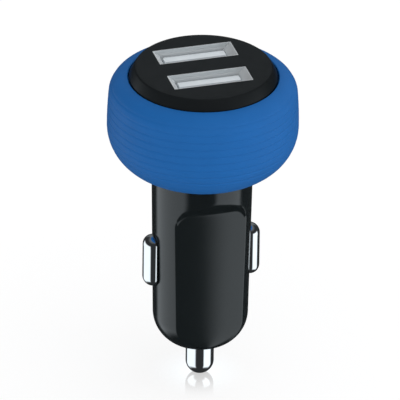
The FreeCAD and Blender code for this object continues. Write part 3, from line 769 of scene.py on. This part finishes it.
@dataclass
class GripRing:
    """Blue soft-touch ring, with its grip grooves."""

    head: Head
    radius: float = 18.2
    waist: float = 9.05
    side_lean: float = 0.25
    wall: float = 2.2
    floor: float = 1.6
    cone_foot: float = 11.45
    lip_round: float = 0.25
    groove_count: int = 9
    groove_first: float = 17.3
    groove_pitch: float = 1.5
    groove_depth: float = 0.105
    groove_width: float = 0.17
    rib_count: int = 8
    rib_thick: float = 1.2
    rib_overlap: float = 0.02
    under_steps: int = 112
    side_steps: int = 60
    shoulder_steps: int = 46
    lip_steps: int = 5
    sides: int = 224

    def groove_depth_at(self, height: float) -> float:
        """Depth of the grip grooves at a height.

        Args:
            height: height on the outside of the ring.

        Returns:
            The depth, which falls off smoothly beside each groove.
        """
        depth = 0.0
        for number in range(self.groove_count):
            away = (height - self.groove_first + number * self.groove_pitch) / self.groove_width
            depth += self.groove_depth * math.exp(-away * away)
        return depth

    def outer_curve(self) -> list[Point]:
        """Outside from the lower lip to the seam: two long arcs and the shoulder, grooved.

        Returns:
            Radius and height of each point.
        """
        hole = self.head.barrel_radius + self.head.nest
        under = tangent_radius(self.radius - hole, self.waist)
        shoulder = self.radius - self.head.seam_radius - self.side_lean
        shoulder_low = self.head.ring_height - shoulder
        side = tangent_radius(self.side_lean, shoulder_low - self.waist)
        under_end = math.degrees(math.asin(self.waist / under))
        side_end = math.degrees(math.asin((shoulder_low - self.waist) / side))
        points = arc((self.radius - under, self.waist), under, -under_end, 0.0, self.under_steps)
        points += arc((self.radius - side, self.waist), side, 0.0, side_end, self.side_steps)[1:]
        points += arc((self.head.seam_radius, shoulder_low), shoulder, 0.0, 90.0,
                      self.shoulder_steps)[1:]
        curve = []
        for before, here, after in zip(points, points[1:], points[2:]):
            along = (Vector(after) - Vector(before)).normalized()
            outward = Vector((along.y, -along.x))
            grooved = Vector(here) - outward * self.groove_depth_at(here[1])
            curve.append((grooved.x, grooved.y))
        return [points[0]] + curve + [points[-1]]

    def build(self, finish: Finish) -> bpy.types.Object:
        """Make the ring with its cored inside and ribs.

        Args:
            finish: the soft-touch finish.

        Returns:
            The ring.
        """
        head = self.head
        opening = head.bowl_radius + head.nest
        inner = self.radius - self.wall
        rise = self.floor + inner - self.cone_foot
        roof = head.ring_height - self.wall
        seam = head.seam_radius + head.slip
        lip = arc((seam + self.lip_round, head.ring_height - self.lip_round), self.lip_round,
                  90.0, 180.0, self.lip_steps)
        inside = [
            (seam, head.plate_seat), (opening, head.plate_seat), (opening, roof), (inner, roof),
            (inner, rise), (self.cone_foot, self.floor), (head.barrel_radius + head.nest, self.floor),
        ]
        outside = [point for point in self.outer_curve()
                   if point[0] > seam + self.lip_round or point[1] < self.waist]
        low = (opening - self.rib_overlap, -self.rib_thick / 2, rise - self.rib_overlap)
        high = (inner + self.wall / 2, self.rib_thick / 2, roof + self.rib_overlap)
        ribs = [turned(box_shape(low, high), math.tau * (number + 0.5) / self.rib_count)
                for number in range(self.rib_count)]
        shape = combined(revolved(outside + lip + inside, self.sides), Operation.FUSE, *ribs)
        return finished(shape, "grip_ring", "soft", finish)


@dataclass
class Port:
    """Sizes of one port: the mouth in the plate, the shell and the tongue."""

    head: Head
    pitch: float = 10.26
    shift: float = 0.6
    opening_length: float = 12.5
    opening_width: float = 5.0
    wall: float = 0.25
    corner: float = 0.45
    corner_steps: int = 5
    mouth_length: float = 15.4
    mouth_depth: float = 1.2
    bend: float = 0.3
    bend_out: float = 0.25
    ease: float = 0.1
    lip_edge: float = 0.13
    lip_height: float = 0.12
    lip_fall: Place = (0.7, 0.2, 0.3)
    throat_out: float = 0.9
    throat_depth: float = 0.8
    board_top: float = 8.2
    base_height: float = 3.6
    base_gap: float = 0.1
    base_bevel: float = 0.15
    tongue_length: float = 12.1
    tongue_thick: float = 1.84
    tongue_gap: float = 2.2
    tongue_drop: float = 1.0
    tongue_bevel: float = 0.16
    latch_half: Point = (1.1, 1.4)
    latch_spacing: float = 6.0
    latch_middle: float = 16.35
    leg_width: float = 2.0
    leg_length: float = 2.4
    channel_width: float = 1.1
    channel_depth: float = 0.35
    channel_drop: float = 0.5
    blade_stand: float = 0.3
    channel_middles: tuple[float, ...] = (-3.5, -1.0, 1.0, 3.5)

    def middle(self, row: Row) -> float:
        """Place of a port's middle along Y."""
        return self.shift + row.value * self.pitch / 2

    @property
    def shell_width(self) -> float:
        """Outside width of the shell."""
        return self.opening_width + 2 * self.wall

    def shell_levels(self) -> list[tuple[float, float, float, float]]:
        """Sections of the shell: up the outside, over the mouth's lip and down the inside.

        Returns:
            Length, width, corner radius and height of each section.
        """
        top, fine = self.head.plate_top, self.corner / 3
        flare = top - self.mouth_depth
        long, wide = self.opening_length, self.opening_width
        outer_long, outer_wide = long + 2 * self.wall, self.shell_width
        fall_long, fall_wide, fall = self.lip_fall
        return [
            (outer_long, outer_wide, self.corner, self.board_top),
            (outer_long, outer_wide, self.corner, flare - self.bend),
            (outer_long + self.bend_out, outer_wide, self.corner, flare),
            (self.mouth_length, outer_wide, fine, top - self.lip_height),
            (self.mouth_length, outer_wide, fine, top),
            (self.mouth_length - 2 * self.lip_edge, outer_wide - 2 * self.lip_edge, fine, top),
            (self.mouth_length - fall_long, outer_wide - fall_wide, fine, top - fall),
            (long + self.throat_out, wide, fine, top - self.throat_depth),
            (long + self.ease, wide, fine, flare - self.ease),
            (long, wide, fine, flare - self.ease - self.bend),
            (long, wide, fine, self.board_top),
        ]

    def build_shell(self, row: Row, finish: Finish) -> bpy.types.Object:
        """Make a shell: a folded tube whose mouth flares at its short ends.

        Args:
            row: which port.
            finish: the steel's finish.

        Returns:
            The shell.
        """
        middle = self.middle(row)
        rings = []
        for length, width, corner, height in self.shell_levels():
            outline = rounded_rectangle(length / 2, width / 2, corner, self.corner_steps)
            rings.append([Vector((x, y + middle, height)) for x, y in outline])
        half_width, half_height = self.latch_half
        windows, legs = [], []
        for side in (-1, 1):
            place = side * self.latch_spacing / 2
            windows.append(box_shape(
                (place - half_width, middle - self.opening_width, self.latch_middle - half_height),
                (place + half_width, middle + self.opening_width, self.latch_middle + half_height)))
            inner = side * self.opening_length / 2
            legs.append(box_shape(
                (inner, middle - self.leg_width / 2, self.board_top - self.leg_length),
                (inner + side * self.wall, middle + self.leg_width / 2, self.board_top + self.ease)))
        shape = combined(skin(rings, closed=True), Operation.CUT, *windows)
        shape = combined(shape, Operation.FUSE, *legs)
        return finished(shape, f"usb_shell_{row.name.lower()}", "folded", finish, sharp_angle=28.0)

    def build_tongue(self, row: Row, finish: Finish) -> bpy.types.Object:
        """Make an insulator: the base block and the tongue, with channels for its blades.

        Args:
            row: which port.
            finish: the moulding's finish.

        Returns:
            The insulator.
        """
        middle = self.middle(row)
        face = middle + self.tongue_gap - self.opening_width / 2
        tongue_end = self.head.plate_top - self.tongue_drop
        half_long = self.opening_length / 2 - self.base_gap
        half_wide = self.opening_width / 2 - self.base_gap
        base = box_shape(
            (-half_long, middle - half_wide, self.board_top),
            (half_long, middle + half_wide, self.board_top + self.base_height), self.base_bevel)
        tongue = box_shape(
            (-self.tongue_length / 2, face, self.board_top),
            (self.tongue_length / 2, face + self.tongue_thick, tongue_end), self.tongue_bevel)
        half = self.channel_width / 2
        channels = [box_shape((place - half, face - self.blade_stand, self.board_top - 1),
                              (place + half, face + self.channel_depth, tongue_end - self.channel_drop))
                    for place in self.channel_middles]
        shape = combined(combined(base, Operation.FUSE, tongue), Operation.CUT, *channels)
        return finished(shape, f"usb_insulator_{row.name.lower()}", "moulded", finish, sharp_angle=50.0)


@dataclass
class FacePlate:
    """Black satin cap with a chamfered rim and two port windows."""

    head: Head
    port: Port
    top_radius: float = 13.0
    rim_round: float = 0.35
    wall: float = 1.95
    skirt_wall: float = 0.95
    skirt_end: float = 12.0
    snap_depth: float = 0.3
    snap_step: float = 0.5
    slot_width: float = 3.0
    window_gap: float = 0.02
    slot_gap: float = 0.1
    face_radii: tuple[float, ...] = (0.0, 5.0, 9.0, 11.8)
    top_steps: int = 6
    foot_steps: int = 4
    sides: int = 224

    def profile(self) -> list[Point]:
        """Section from the middle of the face out over the rim, down the skirt and back.

        Returns:
            Radius and height of each point.
        """
        head = self.head
        foot_radius = head.seam_radius - head.slip
        fall, out = head.plate_top - head.ring_height, foot_radius - self.top_radius
        slope = math.degrees(math.atan2(fall, out))
        top_set = self.rim_round * math.tan(math.radians(slope / 2))
        foot_set = self.rim_round * math.tan(math.radians((90.0 - slope) / 2))
        rim = arc((self.top_radius - top_set, head.plate_top - self.rim_round), self.rim_round,
                  90.0, 90.0 - slope, self.top_steps)
        foot = arc((foot_radius - self.rim_round, head.ring_height - foot_set), self.rim_round,
                   90.0 - slope, 0.0, self.foot_steps)
        skirt = head.bowl_inner - head.nest
        bead = [(skirt + out * self.snap_depth, self.skirt_end + steps * self.snap_step)
                for out, steps in ((0, 3), (1, 2), (0, 1), (0, 0))]
        return [
            *((radius, head.plate_top) for radius in self.face_radii), *rim, *foot,
            (foot_radius, head.plate_seat), (skirt, head.plate_seat), *bead,
            (skirt - self.skirt_wall, self.skirt_end),
            (skirt - self.skirt_wall, head.plate_top - self.wall), (0.0, head.plate_top - self.wall),
        ]

    def build(self, finish: Finish) -> bpy.types.Object:
        """Make the plate and cut its windows and the slots in its skirt.

        Args:
            finish: the satin black finish.

        Returns:
            The plate.
        """
        head = self.head
        cutters = []
        half_long = self.port.mouth_length / 2 + self.window_gap
        half_wide = self.port.shell_width / 2 + self.window_gap
        for row in Row:
            middle = self.port.middle(row)
            cutters.append(box_shape((-half_long, middle - half_wide, head.plate_top - self.wall - 1),
                                     (half_long, middle + half_wide, head.plate_top + 1)))
        reach, half_slot = head.bowl_radius + 1, self.slot_width / 2
        for x, y in ((reach, half_slot), (half_slot, reach)):
            cutters.append(box_shape(
                (-x, -y, self.skirt_end - 1), (x, y, head.plate_seat - self.slot_gap)))
        shape = combined(revolved(self.profile(), self.sides), Operation.CUT, *cutters)
        return finished(shape, "face_plate", "satin", finish)


@dataclass
class Barrel:
    """Black plug body: drafted round, flat front and back, rounded nose, side slots."""

    head: Head
    low_radius: float = 9.11
    straight: float = 31.3
    nose_length: float = 6.6
    nose_end_radius: float = 3.1
    flat_offset: float = 6.6
    flat_top: float = 6.9
    flat_inner: float = 5.4
    flat_crown: float = 0.4
    flat_corner: float = 2.7
    edge_round: float = 0.28
    crease_round: float = 0.25
    cavity_radius: float = 8.2
    cavity_floor: float = 26.5
    chamber_radius: float = 4.3
    pin_seat: float = 35.4
    bore_radius: float = 2.78
    ledge_radius: float = 10.9
    board_seat: float = 7.0
    bowl_floor_top: float = 3.2
    foot_height: float = 1.6
    foot_width: float = 1.65
    slot_half: Point = (2.35, 5.45)
    slot_round: float = 2.3
    snap_low: float = 12.3
    snap_high: float = 13.7
    snap_depth: float = 0.3
    rail_low: Place = (6.4, 0.7, -11.5)
    rail_high: Place = (8.43, 1.6, 1.5)
    slot_middle: float = 19.2
    flat_columns: int = 24
    side_columns: int = 30
    flat_crowding: float = 1.7
    side_crowding: float = 1.5
    least_edge: float = 0.06
    least_facing: float = 1e-6
    row_step: float = 0.22
    nose_rows: int = 26
    slot_steps: int = 8

    def radius_at(self, height: float) -> float:
        """Radius of the drafted round at a height above the nose."""
        share = min(max(-height / self.straight, 0.0), 1.0)
        return self.head.barrel_radius + (self.low_radius - self.head.barrel_radius) * share

    def flat_half(self, flat: float) -> float:
        """Half the width of a flat that lies at a distance from the axis."""
        return math.sqrt(max(self.head.barrel_radius ** 2 - flat ** 2, 0.0))

    def flat_at(self, height: float, across: float = 0.0) -> float:
        """Distance of the flat from the axis, raised by the ramp above its round-cornered top.

        Args:
            height: height on the flat.
            across: distance from the flat's middle line.

        Returns:
            The distance.
        """
        half = self.flat_half(self.flat_offset)
        past = min(max((abs(across) - half) / self.flat_corner + 1.0, 0.0), 1.0)
        above = height + self.flat_top + self.flat_corner * (1.0 - math.sqrt(1.0 - past ** 2))
        return self.flat_offset + (above + math.hypot(above, self.crease_round)) / 2

    def outer_rows(self) -> list[Point]:
        """Rows of the outside, from the bowl's foot to the nose's end.

        Returns:
            Radius of the round and height of each row.
        """
        length = self.straight + self.foot_height
        count = math.ceil(length / self.row_step)
        heights = [self.foot_height - length * row / count for row in range(count)]
        rows = [(self.radius_at(height), height) for height in heights]
        nose = tangent_radius(self.low_radius - self.nose_end_radius, self.nose_length)
        end = math.degrees(math.asin(self.nose_length / nose))
        return rows + arc((self.low_radius - nose, -self.straight), nose, 0.0, -end, self.nose_rows)

    def columns(self, edge: float) -> list[float]:
        """Angles of a ring's points, closer together at the edges of the flats.

        Args:
            edge: angle from the middle of a flat to its edge.

        Returns:
            Angles from the Y axis, once round.
        """
        flat = [edge * (1 - (1 - step / self.flat_columns) ** self.flat_crowding)
                for step in range(self.flat_columns)]
        side = [edge + (math.pi / 2 - edge) * (step / self.side_columns) ** self.side_crowding
                for step in range(self.side_columns)]
        quarter = flat + side
        back = [math.pi - angle for angle in reversed(quarter[1:])]
        half = quarter + [math.pi / 2] + back
        return half + [angle + math.pi for angle in half]

    def ring(self, radius: float, height: float, flat: float, soft: float,
             crown: float = 0.0) -> list[Vector]:
        """One ring of the barrel: a circle that the flats cut off.

        Args:
            radius: radius of the circle.
            height: height of the ring.
            flat: distance of the flats from the axis.
            soft: how much the edge between them is rounded.
            crown: how far the middle of a flat stands above its edges.

        Returns:
            The ring's points.
        """
        edge = max(math.acos(min(flat / radius, 1.0)), self.least_edge)
        rise = crown * (self.flat_half(flat) / self.flat_half(self.flat_offset)) ** 2
        points = []
        for angle in self.columns(edge):
            off_middle = math.tan(min(abs(math.asin(math.sin(angle))), edge))
            if crown:
                flat = self.flat_at(height, self.flat_offset * off_middle)
            crowned = flat + rise * (0.5 - (off_middle / math.tan(edge)) ** 2)
            reach = crowned / max(abs(math.cos(angle)), self.least_facing)
            near = (radius + reach - math.hypot(radius - reach, soft)) / 2
            points.append(Vector((near * math.sin(angle), -near * math.cos(angle), height)))
        return points

    def inside_rings(self) -> list[list[Vector]]:
        """Rings of the inside and the bowl, from the pin's bore up and round to the bowl's foot.

        Returns:
            The rings, in the order in which they join the outside's.
        """
        head = self.head
        far = 10 * head.bowl_radius
        nose_end = -self.straight - self.nose_length
        inset = self.flat_offset - self.flat_inner
        ramp_bottom = head.barrel_radius - self.flat_offset - self.flat_top - inset
        snapped = head.bowl_inner + self.snap_depth
        cone_foot = head.barrel_radius + self.foot_width
        cavity = [
            (self.bore_radius, nose_end, far), (self.bore_radius, -self.pin_seat, far),
            (self.chamber_radius, -self.pin_seat, far), (self.chamber_radius, -self.cavity_floor, far),
            (self.cavity_radius, -self.cavity_floor, self.flat_inner),
            (self.cavity_radius, ramp_bottom, self.flat_inner),
        ]
        bowl = [
            (self.cavity_radius, ramp_bottom), (self.cavity_radius, self.bowl_floor_top),
            (self.ledge_radius, self.bowl_floor_top), (self.ledge_radius, self.board_seat),
            (head.bowl_inner, self.board_seat), (head.bowl_inner, self.snap_low),
            (snapped, self.snap_low), (snapped, self.snap_high),
            (head.bowl_inner, self.snap_high), (head.bowl_inner, head.plate_seat),
            (head.bowl_radius, head.plate_seat),
            (head.bowl_radius, self.foot_height + head.bowl_radius - cone_foot),
            (cone_foot, self.foot_height),
        ]
        rows = cavity + [(radius, height, far) for radius, height in bowl]
        return [self.ring(radius, height, flat, 0.0) for radius, height, flat in rows]

    def build(self, finish: Finish) -> bpy.types.Object:
        """Make the barrel with its cavity, bowl, board rails and side slots.

        Args:
            finish: the gloss black finish.

        Returns:
            The barrel.
        """
        rings = [self.ring(radius, height, self.flat_at(height), self.edge_round, self.flat_crown)
                 for radius, height in self.outer_rows()]
        rails = []
        for side_x in (-1, 1):
            for side_y in (-1, 1):
                ends = [(x * side_x, y * side_y, z) for x, y, z in (self.rail_low, self.rail_high)]
                rails.append(box_shape(*ends))
        shape = combined(skin(rings + self.inside_rings(), closed=True), Operation.FUSE, *rails)
        outline = rounded_rectangle(*self.slot_half, self.slot_round, self.slot_steps)
        reach = self.head.barrel_radius + 1
        slot = [[Vector((x, y, z - self.slot_middle)) for y, z in outline] for x in (-reach, reach)]
        shape = combined(shape, Operation.CUT, skin(slot, closed=False))
        return finished(shape, "barrel", "gloss", finish, sharp_angle=30.0)


@dataclass
class SideContact:
    """Bright drawn contact: an oval crown, hollow behind, with two feet and a wiper."""

    reach: float = 11.5
    widest: float = 9.6
    root: float = 7.472
    root_half: float = 1.85
    half_height: float = 5.3
    half_width: float = 2.2
    middle: float = -19.2
    end_round: float = 1.9
    wall: float = 0.45
    turn: float = 112.0
    turn_steps: int = 36
    end_steps: int = 18
    end_turn: float = 84.0
    open_behind: float = 1.0
    foot_half: float = 1.7
    foot_span: Point = (4.85, 6.5)
    foot_bevel: float = 0.08
    wiper_low: Place = (4.472, 0.65, -24.5)
    wiper_high: Place = (7.6, 0.9, -23.3)
    wiper_bevel: float = 0.05

    def section(self, height: float, scale: float, inset: float) -> list[Vector]:
        """Level section: an oval that draws in behind and runs straight to the root.

        Args:
            height: height of the section.
            scale: its width as a share of the widest section's.
            inset: how far it lies inside the outer face.

        Returns:
            The section's points.
        """
        across = (self.half_width - inset) * scale
        out = (self.reach - self.widest - inset) * scale
        oval = arc((0.0, 0.0), 1.0, -self.turn, self.turn, self.turn_steps)
        root_half = (self.root_half - inset) * scale
        points = [(self.widest + out * x, across * y) for x, y in oval]
        root = self.root - (self.open_behind if inset else 0.0)
        points += [(root, side * root_half) for side in (1, -1)]
        return [Vector((x, y, height)) for x, y in points]

    def crown(self, inset: float) -> bmesh.types.BMesh:
        """Sections stacked up, smaller towards the rounded ends.

        Args:
            inset: how far the crown lies inside the outer face.

        Returns:
            The crown, in millimetres.
        """
        straight = self.half_height - self.end_round
        ends = arc((0.0, 0.0), 1.0, self.end_turn, 0.0, self.end_steps)
        rows = [(straight + (self.end_round - inset) * up, share) for share, up in ends]
        rows += [(-height, share) for height, share in reversed(rows)]
        sections = [self.section(self.middle + height, share, inset) for height, share in rows]
        return skin(sections, closed=False)

    def build(self, hand: Hand, body: str, finish: Finish) -> bpy.types.Object:
        """Make a contact.

        Args:
            hand: which side of the plug.
            body: the moving body that it rides on.
            finish: the plated metal's finish.

        Returns:
            The contact.
        """
        near, far = self.foot_span
        added = [box_shape((self.root, -self.foot_half, self.middle + side * near),
                           (self.root + self.wall, self.foot_half, self.middle + side * far),
                           self.foot_bevel) for side in (1, -1)]
        added.append(box_shape(self.wiper_low, self.wiper_high, self.wiper_bevel))
        shape = combined(self.crown(0.0), Operation.CUT, self.crown(self.wall))
        shape = combined(shape, Operation.FUSE, *added)
        shape = turned(shape, math.pi if hand is Hand.LEFT else 0.0)
        return finished(shape, f"ground_contact_{hand.name.lower()}", "bright", finish, body, 50.0)


@dataclass
class TipContact:
    """Bright sprung pin with a domed end."""

    radius: float = 2.7
    shank: float = 2.4
    end: float = -45.0
    nose_end: float = -37.9
    shank_gap: float = 0.3
    seat: float = -35.4
    collar: float = 3.9
    collar_top: float = -34.2
    stub: float = 2.2
    stub_top: float = -31.2
    dome_steps: int = 28
    sides: int = 96

    def build(self, finish: Finish) -> bpy.types.Object:
        """Make the pin, its collar and its stub.

        Args:
            finish: the plated metal's finish.

        Returns:
            The pin.
        """
        relief = self.radius - self.shank
        shoulder = self.nose_end - self.shank_gap
        profile = arc((0.0, self.end + self.radius), self.radius, -90.0, 0.0, self.dome_steps)
        profile += [
            (self.radius, shoulder), (self.shank, shoulder + relief), (self.shank, self.seat),
            (self.collar, self.seat), (self.collar, self.collar_top), (self.stub, self.collar_top),
            (self.stub, self.stub_top), (0.0, self.stub_top),
        ]
        return finished(revolved(profile, self.sides), "tip_contact", "bright", finish, "tip")


@dataclass
class TipSpring:
    """Helix of round wire behind the pin, built at one length, though the real spring shortens as the
    pin goes in.
    """

    coil_radius: float = 2.95
    wire_radius: float = 0.25
    low: float = -34.142
    high: float = -26.558
    seat: float = -26.5
    travel: float = 2.5
    turns: int = 5
    steps: int = 44
    sides: int = 12

    def build(self, finish: Finish) -> bpy.types.Object:
        """Make the spring as a helix of one fixed length.

        Args:
            finish: the drawn wire's finish.

        Returns:
            The spring.
        """
        rise = self.high - self.low - 2 * self.wire_radius
        slope = math.atan2(rise / self.turns, math.tau * self.coil_radius)
        rings = []
        for step in range(self.turns * self.steps + 1):
            angle = math.tau * step / self.steps
            outward = Vector((math.cos(angle), math.sin(angle), 0.0))
            along = Vector((-math.sin(angle), math.cos(angle), 0.0))
            upward = Vector((0.0, 0.0, math.cos(slope))) - along * math.sin(slope)
            middle = outward * self.coil_radius
            middle.z = self.low + self.wire_radius + rise * step / (self.turns * self.steps)
            rings.append([middle + (outward * across + upward * over) * self.wire_radius
                          for across, over in arc((0.0, 0.0), 1.0, 0.0, 360.0, self.sides)[:-1]])
        piece = finished(skin(rings, closed=False), "tip_spring", "wound", finish, sharp_angle=50.0)
        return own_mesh(piece)


@dataclass
class Insides:
    """The sealed parts, which keep their solids and get their finishes."""

    finishes: Finishes
    by_node: dict[str, str] = field(default_factory=lambda: {
        "tip_terminal": "brass", "port_board": "board", "main_board": "board",
        "input_capacitor": "sleeve", "output_capacitor": "sleeve", "choke": "choke",
        "converter_chip": "epoxy", "rectifier_diode": "epoxy", "fuse": "ceramic",
        "sense_resistors": "epoxy",
    })
    edge_round: float = 0.06
    edge_angle: float = 40.0
    weld: float = 0.001

    def soften(self, piece: bpy.types.Object) -> None:
        """Round a solid's sharp edges a little, with modifiers.

        Args:
            piece: the carried-over solid.
        """
        piece.modifiers.new("whole_skin", "WELD").merge_threshold = self.weld * MM
        edge = piece.modifiers.new("edge_round", "BEVEL")
        edge.width = self.edge_round * MM
        edge.segments = 2
        edge.limit_method = "ANGLE"
        edge.angle_limit = math.radians(self.edge_angle)

    def dress(self) -> None:
        """Dress each sealed part, and each blade in gold, and soften their edges."""
        for node, piece in frame["nodes"].items():
            finish = "gold" if node.startswith("usb_blade") else self.by_node.get(node)
            if finish:
                getattr(self.finishes, finish).put_on(piece)
                self.soften(piece)


@dataclass(frozen=True)
class Panel:
    """A soft panel in the surroundings, as shiny surfaces see it."""

    turn: float
    half_width: float
    soft: float
    rise: tuple[float, float]
    power: float
    fade: float = 0.11

    def glow(self, facing: Value, up: Value) -> Value:
        """Brightness of the panel in a direction.

        Args:
            facing: cosine of the level angle off the panel's middle.
            up: sine of the direction's height.

        Returns:
            The panel's power inside it, fading to zero outside.
        """
        edges = [math.cos(math.radians(self.half_width + off)) for off in (self.soft, -self.soft)]
        inside = facing.eased(*edges)
        low, high = self.rise
        above = up.eased(low - self.fade, low + self.fade)
        return inside * (above * (1 - up.eased(high - self.fade, high + self.fade))) * self.power


@dataclass
class Studio:
    """Floor, soft light and the camera at the photograph's angle."""

    floor_height: float = -45.0
    floor_half: float = 4000.0
    floor_glow: float = 0.65
    floor_gloss: float = 0.11
    glow_power: float = 1.12
    mirror_reach: float = 11.0
    floor_roughness: float = 0.05
    floor_white: Colour = opaque(0.95, 0.95, 0.95)
    tint: Colour = opaque(0.92, 1.0, 1.05)
    fill: float = 1.14
    fill_turn: float = 75.0
    fill_aside: float = 0.46
    fill_low: float = 0.40
    least_level: float = 1e-6
    surround: float = 0.03
    overhead: float = 0.12
    overhead_rise: Point = (0.6, 0.95)
    panels: tuple[Panel, ...] = (
        Panel(-81.0, 45.0, 8.0, (-0.75, 0.08), 1.15),
        Panel(67.0, 32.5, 6.0, (-0.75, 0.2), 1.2),
        Panel(180.0, 32.0, 6.0, (0.12, 0.78), 0.12),
        Panel(180.0, 3.0, 0.5, (0.45, 0.52), 0.85, 0.01),
    )
    azimuth: float = -16.22
    elevation: float = 28.89
    roll: float = 0.771
    pixels_per_mm: float = 5.2627
    distance: float = 2290.0
    aim_height: float = -7.57
    aim_pixel: Point = (201.79, 200.0)
    image: int = 400
    sensor: float = 36.0
    clip_end: float = 20.0

    def floor_material(self) -> bpy.types.Material:
        """White floor that mirrors what stands near the axis and glows for the camera.

        Returns:
            The material.
        """
        made = bpy.data.materials.new("floor_white")
        shader = Shader(made)
        across, depth, _ = shader.axes(shader.place())
        near = 1 - (across * across + depth * depth).root().eased(0.0, self.mirror_reach * MM)
        matt = shader.node("ShaderNodeBsdfDiffuse", None, {"Color": self.floor_white})
        mirror = shader.node("ShaderNodeBsdfGlossy", None,
                             {"Color": WHITE, "Roughness": self.floor_roughness})
        glow = shader.node("ShaderNodeEmission", None, {"Color": WHITE, "Strength": self.glow_power})
        solid = shader.node("ShaderNodeMixShader", None,
                            {0: near, 1: matt.outputs[0], 2: mirror.outputs[0]})
        seen = shader.ray("Camera") + shader.ray("Glossy") + shader.ray("Transmission")
        share = seen * (self.floor_glow - near * self.floor_gloss)
        both = shader.node("ShaderNodeMixShader", None,
                           {0: share, 1: solid.outputs[0], 2: glow.outputs[0]})
        shader.node("ShaderNodeOutputMaterial", None, {"Surface": both.outputs[0]})
        return made

    def lay_floor(self) -> None:
        """Make the floor, which shiny surfaces don't mirror."""
        shape = bmesh.new()
        half = self.floor_half
        corners = [(-half, -half), (half, -half), (half, half), (-half, half)]
        shape.faces.new([shape.verts.new((x, y, self.floor_height)) for x, y in corners])
        floor = new_piece("floor", shape, 0.0)
        floor.data.materials.append(self.floor_material())
        floor.visible_glossy = False

    def plan_direction(self, turn: float) -> Vector:
        """Level direction at an angle to the right of the camera's, in degrees."""
        angle = math.radians(self.azimuth + turn)
        return Vector((math.sin(angle), -math.cos(angle), 0.0))

    def light(self) -> None:
        """Light the scene from the world: an even fill, and soft panels for the gloss."""
        world = bpy.data.worlds.new("studio")
        bpy.context.scene.world = world
        world.cycles.sampling_method = "NONE"
        shader = Shader(world)
        across, depth, up = shader.axes(shader.node("ShaderNodeTexCoord").outputs["Generated"])
        level = (across * across + depth * depth + self.least_level).root()
        gloss = self.surround + up.eased(*self.overhead_rise) * self.overhead
        for panel in self.panels:
            toward = self.plan_direction(panel.turn)
            gloss = gloss + panel.glow((across * toward.x + depth * toward.y) / level, up)
        aside = self.plan_direction(self.fill_turn)
        fill = self.fill + (across * aside.x + depth * aside.y) * self.fill_aside - up * self.fill_low
        matt = shader.ray("Diffuse")
        seen = shader.ray("Camera") + shader.ray("Transmission")
        strength = gloss + matt * (fill - gloss)
        strength = strength + seen * (1 - strength)
        glow = shader.node("ShaderNodeBackground", None,
                           {"Color": shader.mix(seen + matt, self.tint, WHITE), "Strength": strength})
        shader.node("ShaderNodeOutputWorld", None, {"Surface": glow.outputs[0]})

    def set_camera(self) -> None:
        """Place the camera that the photograph was fitted with."""
        azimuth, elevation = math.radians(self.azimuth), math.radians(self.elevation)
        back = Vector((math.sin(azimuth) * math.cos(elevation), -math.cos(azimuth) * math.cos(elevation),
                       math.sin(elevation)))
        right = Vector((math.cos(azimuth), math.sin(azimuth), 0.0))
        upward = back.cross(right)
        roll = math.radians(self.roll)
        rolled_right = right * math.cos(roll) + upward * math.sin(roll)
        rolled_up = upward * math.cos(roll) - right * math.sin(roll)
        aside = (self.aim_pixel[0] - self.image / 2) / self.pixels_per_mm
        middle = Vector((0.0, 0.0, self.aim_height)) - rolled_right * aside
        place = (middle + back * self.distance) * MM
        camera = bpy.data.cameras.new("photo_camera")
        camera.sensor_width = self.sensor
        camera.lens = self.sensor * self.pixels_per_mm * self.distance / self.image
        camera.clip_end = self.clip_end
        holder = bpy.data.objects.new("photo_camera", camera)
        turn = Matrix((rolled_right, rolled_up, back)).transposed().to_4x4()
        holder.matrix_world = Matrix.Translation(place) @ turn
        bpy.context.scene.collection.objects.link(holder)
        bpy.context.scene.camera = holder


def main() -> None:
    """Build the charger, piece by piece, and set it in the studio."""
    logging.basicConfig(level=logging.INFO, format="%(name)s: %(message)s")
    finishes, head = Finishes(), Head()
    port = Port(head)
    made = [
        GripRing(head).build(finishes.ring), FacePlate(head, port).build(finishes.plate),
        Barrel(head).build(finishes.barrel), TipContact().build(finishes.nickel),
        TipSpring().build(finishes.spring),
        SideContact().build(Hand.LEFT, "left_contact", finishes.nickel),
        SideContact().build(Hand.RIGHT, "right_contact", finishes.nickel),
    ]
    for row in Row:
        made += [port.build_shell(row, finishes.port_steel), port.build_tongue(row, finishes.tongue)]
    Insides(finishes).dress()
    for piece in made:
        log.info("%s: %d faces", piece.name, len(piece.data.polygons))
    studio = Studio()
    studio.lay_floor()
    studio.light()
    studio.set_camera()
    bpy.context.scene.view_settings.view_transform = "Standard"


if __name__ == "__main__":
    main()
